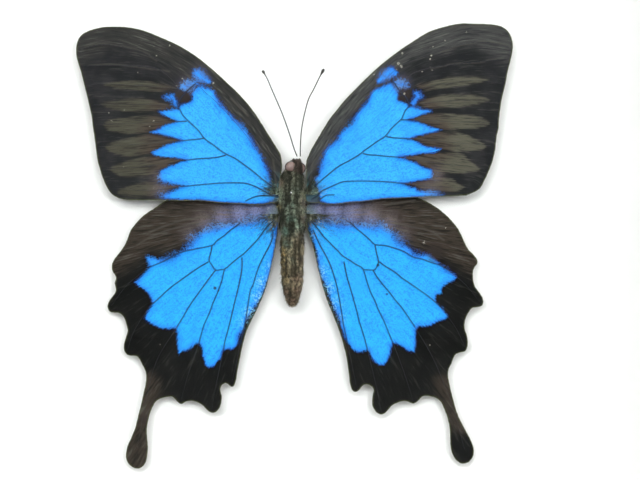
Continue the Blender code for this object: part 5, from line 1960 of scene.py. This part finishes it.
    def section_hair(self, section: Section, coat: Coat, finish: bpy.types.Material,
                     share_range: Pair) -> bpy.types.Object:
        """Covers the front and sides of a turned part with hair.

        Args:
            section: the part.
            coat: the hair.
            finish: the material.
            share_range: the stretch of the part's length that is covered.

        Returns:
            The hairs.
        """
        chance = np.random.default_rng(coat.seed + 100)
        share = chance.uniform(*share_range, coat.count)
        turn = -math.pi / 2 + chance.normal(0, self.hair_spread, coat.count)
        roots = section.surface(share, turn)
        ahead = section.surface(np.minimum(share + 0.01, 0.995), turn)
        behind = section.surface(np.maximum(share - 0.01, 0.005), turn)
        across = section.surface(share, turn + 0.05) - section.surface(share, turn - 0.05)
        normals = np.cross(ahead - behind, across)
        normals /= np.maximum(np.linalg.norm(normals, axis=1, keepdims=True), NEAR_ZERO)
        outward = np.stack([np.cos(turn), np.sin(turn), np.zeros(len(turn))], 1)
        normals *= np.sign(np.sum(normals * outward, axis=1, keepdims=True))
        return HairBuilder(coat).build(roots - normals * self.hair_sink, normals, self.tints(roots), finish)

    def tints(self, roots: np.ndarray) -> dict[str, np.ndarray]:
        """How much teal, gold and rose the hair at each place has, and how much painted shade darkens it."""
        places = roots[:, [0, 2]] / MM
        chance = np.random.default_rng(77)
        return {
            name: (bumps(places, spots) * chance.uniform(*self.tint_range, len(places))).clip(0, 1)
            for name, spots in TINTS.items()
        }

    def head_hair(self, finish: bpy.types.Material) -> bpy.types.Object:
        """Covers the head with hair, but not its eyes."""
        coat = HEAD_COAT
        chance = np.random.default_rng(coat.seed + 100)
        normals = chance.normal(0, 1, (coat.count * 3, 3))
        normals /= np.linalg.norm(normals, axis=1, keepdims=True)
        roots = np.array(at(*self.head_place, self.head_rise)) + normals * np.array(self.head_size) * 0.98
        clear = np.ones(len(roots), bool)
        for x, y, rise in self.eye_places:
            clear &= np.linalg.norm(roots - np.array(at(x, y, rise)), axis=1) > self.eye_radius * 1.04
        clear &= normals[:, 1] < 0.4
        roots, normals = roots[clear][:coat.count], normals[clear][:coat.count]
        return HairBuilder(coat).build(roots, normals, self.tints(roots), finish)

    def build(self) -> tuple[bpy.types.Object, list[bpy.types.Object]]:
        """Builds the body.

        Returns:
            The skin with legs and tongue, and the coats of hair.
        """
        cuticle = CuticleFinish("body_cuticle", (0.03, 0.03, 0.018), (0.12, 0.11, 0.07)).build(self.effects)
        horn = CuticleFinish("leg_horn", (0.03, 0.024, 0.016), (0.09, 0.07, 0.045), 0.4).build(self.effects)
        eye = EyeFinish().build(self.effects)
        parts = [
            self.skin(THORAX, "thorax", cuticle), self.skin(ABDOMEN, "abdomen", cuticle),
            self.ball("head", at(*self.head_place, self.head_rise), self.head_size, cuticle),
            *(self.eye(i, at(x, y, rise), eye) for i, (x, y, rise) in enumerate(self.eye_places)),
            *(self.ball(f"palp_{i}", at(x, y, self.palp_rise), self.palp_size, cuticle)
              for i, (x, y) in enumerate(self.palp_places)),
            self.tongue(horn), self.legs(horn),
        ]
        grey = HairFinish("thorax_hair", (0.026, 0.028, 0.018), (0.78, 0.82, 0.58)).build(self.effects)
        olive = HairFinish("abdomen_hair", (0.03, 0.024, 0.014), (0.8, 0.68, 0.42)).build(self.effects)
        brown = HairFinish("head_hair", (0.05, 0.036, 0.028), (0.4, 0.31, 0.25)).build(self.effects)
        coats = [
            *(self.section_hair(THORAX, coat, grey, stretch) for coat, stretch in THORAX_COATS),
            *(self.section_hair(ABDOMEN, coat, olive, stretch) for coat, stretch in ABDOMEN_COATS),
            self.head_hair(brown),
            *(hair.build(self.tints, grey) for hair in ROOT_HAIRS),
        ]
        return join("body_skin", parts), coats


LEFT_ANTENNA = [
    (297.3, 157, 5.7), (294, 148.5, 5.9), (289.5, 134, 5.9), (282.5, 114.5, 5.7), (275, 97, 5.4),
    (271.5, 89, 5.2), (267.5, 79.5, 5.0), (265, 75, 4.9), (262.7, 71, 4.8),
]
RIGHT_ANTENNA = [
    (300.4, 157, 5.7), (300.6, 145, 5.9), (301.6, 131, 5.9), (304.3, 116, 5.7), (308.6, 100, 5.5),
    (313.5, 90.5, 5.3), (318.5, 80, 5.0), (321, 75.2, 4.9), (324, 69.5, 4.8),
]


@dataclass
class Antenna:
    """A hair-thin ringed stalk that swells to a club."""

    name: str
    route: Sequence[Triple]
    finish: bpy.types.Material
    radius: float = 0.15 * MM
    club: float = 1.7
    club_place: float = 0.95
    club_length: float = 0.055
    rings: int = 52
    groove: float = 0.14

    def swell(self, share: float) -> float:
        """The thickness at a share of the length: a groove after each ring, then the club."""
        groove = self.groove * abs(math.sin(math.pi * share * self.rings))
        bulge = self.club * math.exp(-((share - self.club_place) / self.club_length) ** 2)
        end = min(1.0, (1 - share) / 0.012) ** 0.5
        return max((0.86 + groove + bulge) * end, 0.2)

    def build(self) -> bpy.types.Object:
        """Builds the antenna."""
        knots = np.array([at(x, y, rise * MM) for x, y, rise in self.route])
        route = [Vector(point) for point in smooth_line(knots, False, 45)]
        piece = tubes(self.name, [route], self.radius, self.swell)
        piece.data.materials.append(self.finish)
        return piece


SPACER_PAPER = GrainFinish("spacer_paper", (0.85, 0.84, 0.81), (0.93, 0.92, 0.9), 0.25 * MM)
BOARD = GrainFinish("mount_board_paper", (0.9, 0.895, 0.885), (0.945, 0.94, 0.93), 0.22 * MM)
HARDBOARD = GrainFinish(
    "pressed_hardboard", (0.15, 0.085, 0.04), (0.3, 0.19, 0.1), 0.5 * MM, depth=0.1 * MM, stretch=(1, 1, 0.5)
)
FELT = GrainFinish("black_felt", (0.02, 0.02, 0.02), (0.09, 0.09, 0.09), 0.2 * MM, 0.95, 0.15 * MM)


@dataclass
class BoxFrame:
    """The frame's rails, glass, spacers, boards and steel, rounded and dressed."""

    solids: dict[str, bpy.types.Object]
    effects: Effects
    edge: float = 0.35 * MM

    def dress(self, node: str, slot: str, finish: bpy.types.Material, width: float,
              smooth: bool = True) -> None:
        """Puts a rounded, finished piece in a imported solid's place.

        Args:
            node: the solid's name.
            slot: the record's material slot.
            finish: the material.
            width: how wide its edges are rounded.
            smooth: whether the rounding is shaded smooth.
        """
        piece = rounded_copy(self.solids[node], f"{node}_finished", width, smooth)
        piece.data.materials.append(finish)
        keep(piece, slot, node)

    def build(self) -> None:
        """Builds every piece of the frame."""
        across, upright = (
            WoodFinish(f"black_stained_wood_{way.value}", way).build(self.effects) for way in Direction
        )
        paper, board, hard, felt = (
            finish.build(self.effects) for finish in (SPACER_PAPER, BOARD, HARDBOARD, FELT)
        )
        zinc = MetalFinish("bright_zinc").build(self.effects)
        for side, finish in (("top", across), ("bottom", across), ("left", upright), ("right", upright)):
            self.dress(f"frame_rail_{side}", "black_stained_wood", finish, self.edge)
            self.dress(f"spacer_{side}", "white_paper", paper, 0.2 * MM)
            for number in (1, 2):
                self.dress(f"fixing_point_{side}_{number}", "zinc_plated_steel", zinc, 0.08 * MM)
        self.dress("glass_pane", "clear_glass", GlassFinish().build(self.effects), 0.2 * MM, smooth=False)
        self.dress("mount_board", "white_board", board, 0.15 * MM)
        self.dress("backboard", "brown_hardboard", hard, 0.25 * MM)
        self.dress("hanger_plate", "zinc_plated_steel", zinc, 0.06 * MM)
        for side in ("left", "right"):
            self.dress(f"hanger_nail_{side}", "zinc_plated_steel", zinc, 0.05 * MM)
            self.dress(f"wall_bumper_{side}", "felt_pad", felt, 0.3 * MM)


@dataclass(frozen=True)
class Lamp:
    """A soft square light."""

    name: str
    place: Triple
    aim: Triple
    size: float
    watts: float

    def build(self) -> None:
        """Adds the light."""
        light = bpy.data.lights.new(self.name, "AREA")
        light.shape = "SQUARE"
        light.size = self.size
        light.energy = self.watts
        lamp = placed(self.name, light)
        lamp.location = self.place
        lamp.rotation_euler = (Vector(self.aim) - Vector(self.place)).to_track_quat("-Z", "Y").to_euler()


LAMPS = (
    Lamp("key", (-0.52, -1.0, 0.5), (0, 0, 0.105), 0.34, 3.7),
    Lamp("fill", (0.56, -1.0, 0.3), (0, 0, 0.105), 0.34, 3.0),
    Lamp("top", (0.02, -0.95, 0.66), (0, 0, 0.105), 0.34, 3.0),
    Lamp("back", (0.2, 0.7, 0.8), (0, 0, 0.1), 0.6, 6.0),
)
FLOOR = GrainFinish("pale_floor", (0.74, 0.74, 0.73), (0.8, 0.8, 0.79), 3 * MM, 0.8)
DARK_CARD = GrainFinish("dark_card", (0.004, 0.004, 0.004), (0.008, 0.008, 0.008), 2 * MM, 0.95)


@dataclass
class Studio:
    """Camera, lights and floor of the picture."""

    effects: Effects
    aim: Triple = (6.95 * MM, 2.4 * MM, 106.5 * MM)
    distance: float = 0.4
    view_width: float = 0.15895
    sensor: float = 36.0
    sky: float = 0.3
    sky_color: Color = (0.97, 0.98, 1.0)
    floor_size: float = 8.0
    card_size: float = 1.3

    def camera(self) -> None:
        """Looks straight at the board, as the photograph does."""
        lens = bpy.data.cameras.new("camera")
        lens.sensor_width = self.sensor
        lens.lens = self.sensor * self.distance / self.view_width
        lens.clip_start = 5 * MM
        eye = placed("camera", lens)
        eye.location = (self.aim[0], self.aim[1] - self.distance, self.aim[2])
        eye.rotation_euler = (math.pi / 2, 0, 0)
        bpy.context.scene.camera = eye

    def floor(self) -> None:
        """Lays a pale floor under the frame."""
        bpy.ops.mesh.primitive_plane_add(size=self.floor_size, location=(0, 0, -0.05 * MM))
        floor = named("floor")
        with editing(floor):
            bpy.ops.mesh.select_all(action="SELECT")
            bpy.ops.mesh.subdivide(number_cuts=3)
        floor.data.materials.append(FLOOR.build(self.effects))

    def flags(self) -> None:
        """Hangs a dark card behind the camera and lays one before the frame, seen by reflections alone."""
        dark = DARK_CARD.build(self.effects)
        plan = (
            ("dark_card_back", (0, -1.35, 0.11), math.pi / 2), ("dark_card_low", (0, -0.72, 0.5 * MM), 0.0),
        )
        for name, place, turn in plan:
            bpy.ops.mesh.primitive_plane_add(size=self.card_size, location=place, rotation=(turn, 0, 0))
            card = named(name)
            card.data.materials.append(dark)
            for kind in ("camera", "shadow", "diffuse"):
                setattr(card, f"visible_{kind}", False)

    def world(self) -> None:
        """Fills in from all round with a pale sky."""
        sky = bpy.data.worlds.new("studio")
        sky.use_nodes = True
        inputs = sky.node_tree.nodes["Background"].inputs
        inputs["Color"].default_value = (*self.sky_color, 1)
        inputs["Strength"].default_value = self.sky
        bpy.context.scene.world = sky

    def build(self) -> None:
        """Sets up the picture."""
        self.camera()
        self.floor()
        self.flags()
        self.world()
        for lamp in LAMPS:
            lamp.build()
        bpy.context.scene.view_settings.view_transform = "Standard"


def keep(piece: bpy.types.Object, slot: str, *nodes: str) -> None:
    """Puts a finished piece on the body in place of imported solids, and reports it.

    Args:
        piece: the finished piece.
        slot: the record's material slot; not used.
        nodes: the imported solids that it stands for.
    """
    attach(piece, BODY)
    if nodes:
        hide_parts(*nodes)
    piece.data.calc_loop_triangles()
    LOG.info("%s: %d triangles", piece.name, len(piece.data.loop_triangles))


# The forewings' dark ground is lighter than the hindwings': partly the scales' own grey, partly painted
# reflection, the milky veil of the glass over the forewings.
LEFT_SCALES = WingFinish(
    "forewing_scales", ground=(0.022, 0.021, 0.023), ground_deep=(0.01, 0.0105, 0.012),
    ray_brown=(0.062, 0.058, 0.04), ray_rust=(0.065, 0.047, 0.034), field_brown=(0.03, 0.029, 0.027),
)
RIGHT_SCALES = replace(
    LEFT_SCALES, name="forewing_right_scales", ray_brown=(0.095, 0.09, 0.064), field_brown=(0.05, 0.05, 0.049)
)
HIND_SCALES = WingFinish(
    "hindwing_scales", ground=(0.005, 0.005, 0.0045), ground_deep=(0.002, 0.0022, 0.002),
    ray_brown=(0.05, 0.045, 0.03), ray_rust=(0.07, 0.05, 0.035), field_brown=(0.036, 0.027, 0.02),
    streak_light=0.35, root_reach=4.5, root_teal=(0.16, 0.2, 0.22), blue_bright=(0.024, 0.4, 0.91),
)
WING_VEIN = CuticleFinish("wing_vein", (0.004, 0.005, 0.01), (0.012, 0.014, 0.022), 0.5, 0.1 * MM)
ANTENNA_HORN = CuticleFinish("antenna_horn", (0.012, 0.011, 0.01), (0.045, 0.04, 0.035), 0.4, 0.08 * MM)
PIN_WIRE = MetalFinish("pin_wire", (0.78, 0.78, 0.77), (0.5, 0.5, 0.5), 0.2)


def build_wings(solids: dict[str, bpy.types.Object], effects: Effects) -> None:
    """Builds the four wings.

    Args:
        solids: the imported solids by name.
        effects: the shared shader groups.
    """
    fore, fore_right, hind = (finish.build(effects) for finish in (LEFT_SCALES, RIGHT_SCALES, HIND_SCALES))
    under, vein = UndersideFinish().build(effects), WING_VEIN.build(effects)
    plan = (
        ("forewing_left", LEFT_FOREWING, FOREWING_RISE, fore, (279, 190)),
        ("forewing_right", RIGHT_FOREWING, FOREWING_RISE, fore_right, (306, 190)),
        ("hindwing_left", LEFT_HINDWING, HINDWING_RISE, hind, (277, 214)),
        ("hindwing_right", RIGHT_HINDWING, HINDWING_RISE, hind, (308, 214)),
    )
    for seed, (name, marks, rise, finish, root) in enumerate(plan):
        wing = Wing(name, marks, rise, finish, under, vein, root, seed)
        keep(wing.build(solids[name]), "wing_scales", name)


def main() -> None:
    """Builds the scene."""
    logging.basicConfig(level=logging.INFO, format="%(name)s: %(message)s")
    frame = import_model()
    solids = frame["nodes"]
    effects = Effects()
    build_wings(solids, effects)
    skin, coats = Body(effects).build()
    keep(skin, "body_fur", "body")
    for coat in coats:
        keep(coat, "body_fur")
    horn = ANTENNA_HORN.build(effects)
    for side, route in (("left", LEFT_ANTENNA), ("right", RIGHT_ANTENNA)):
        keep(Antenna(f"antenna_{side}_ringed", route, horn).build(), "antenna_horn", f"antenna_{side}")
    pin = rounded_copy(solids["pin"], "pin_finished", 0.06 * MM)
    pin.data.materials.append(PIN_WIRE.build(effects))
    keep(pin, "pin_steel", "pin")
    BoxFrame(solids, effects).build()
    Studio(effects).build()


if __name__ == "__main__":
    main()
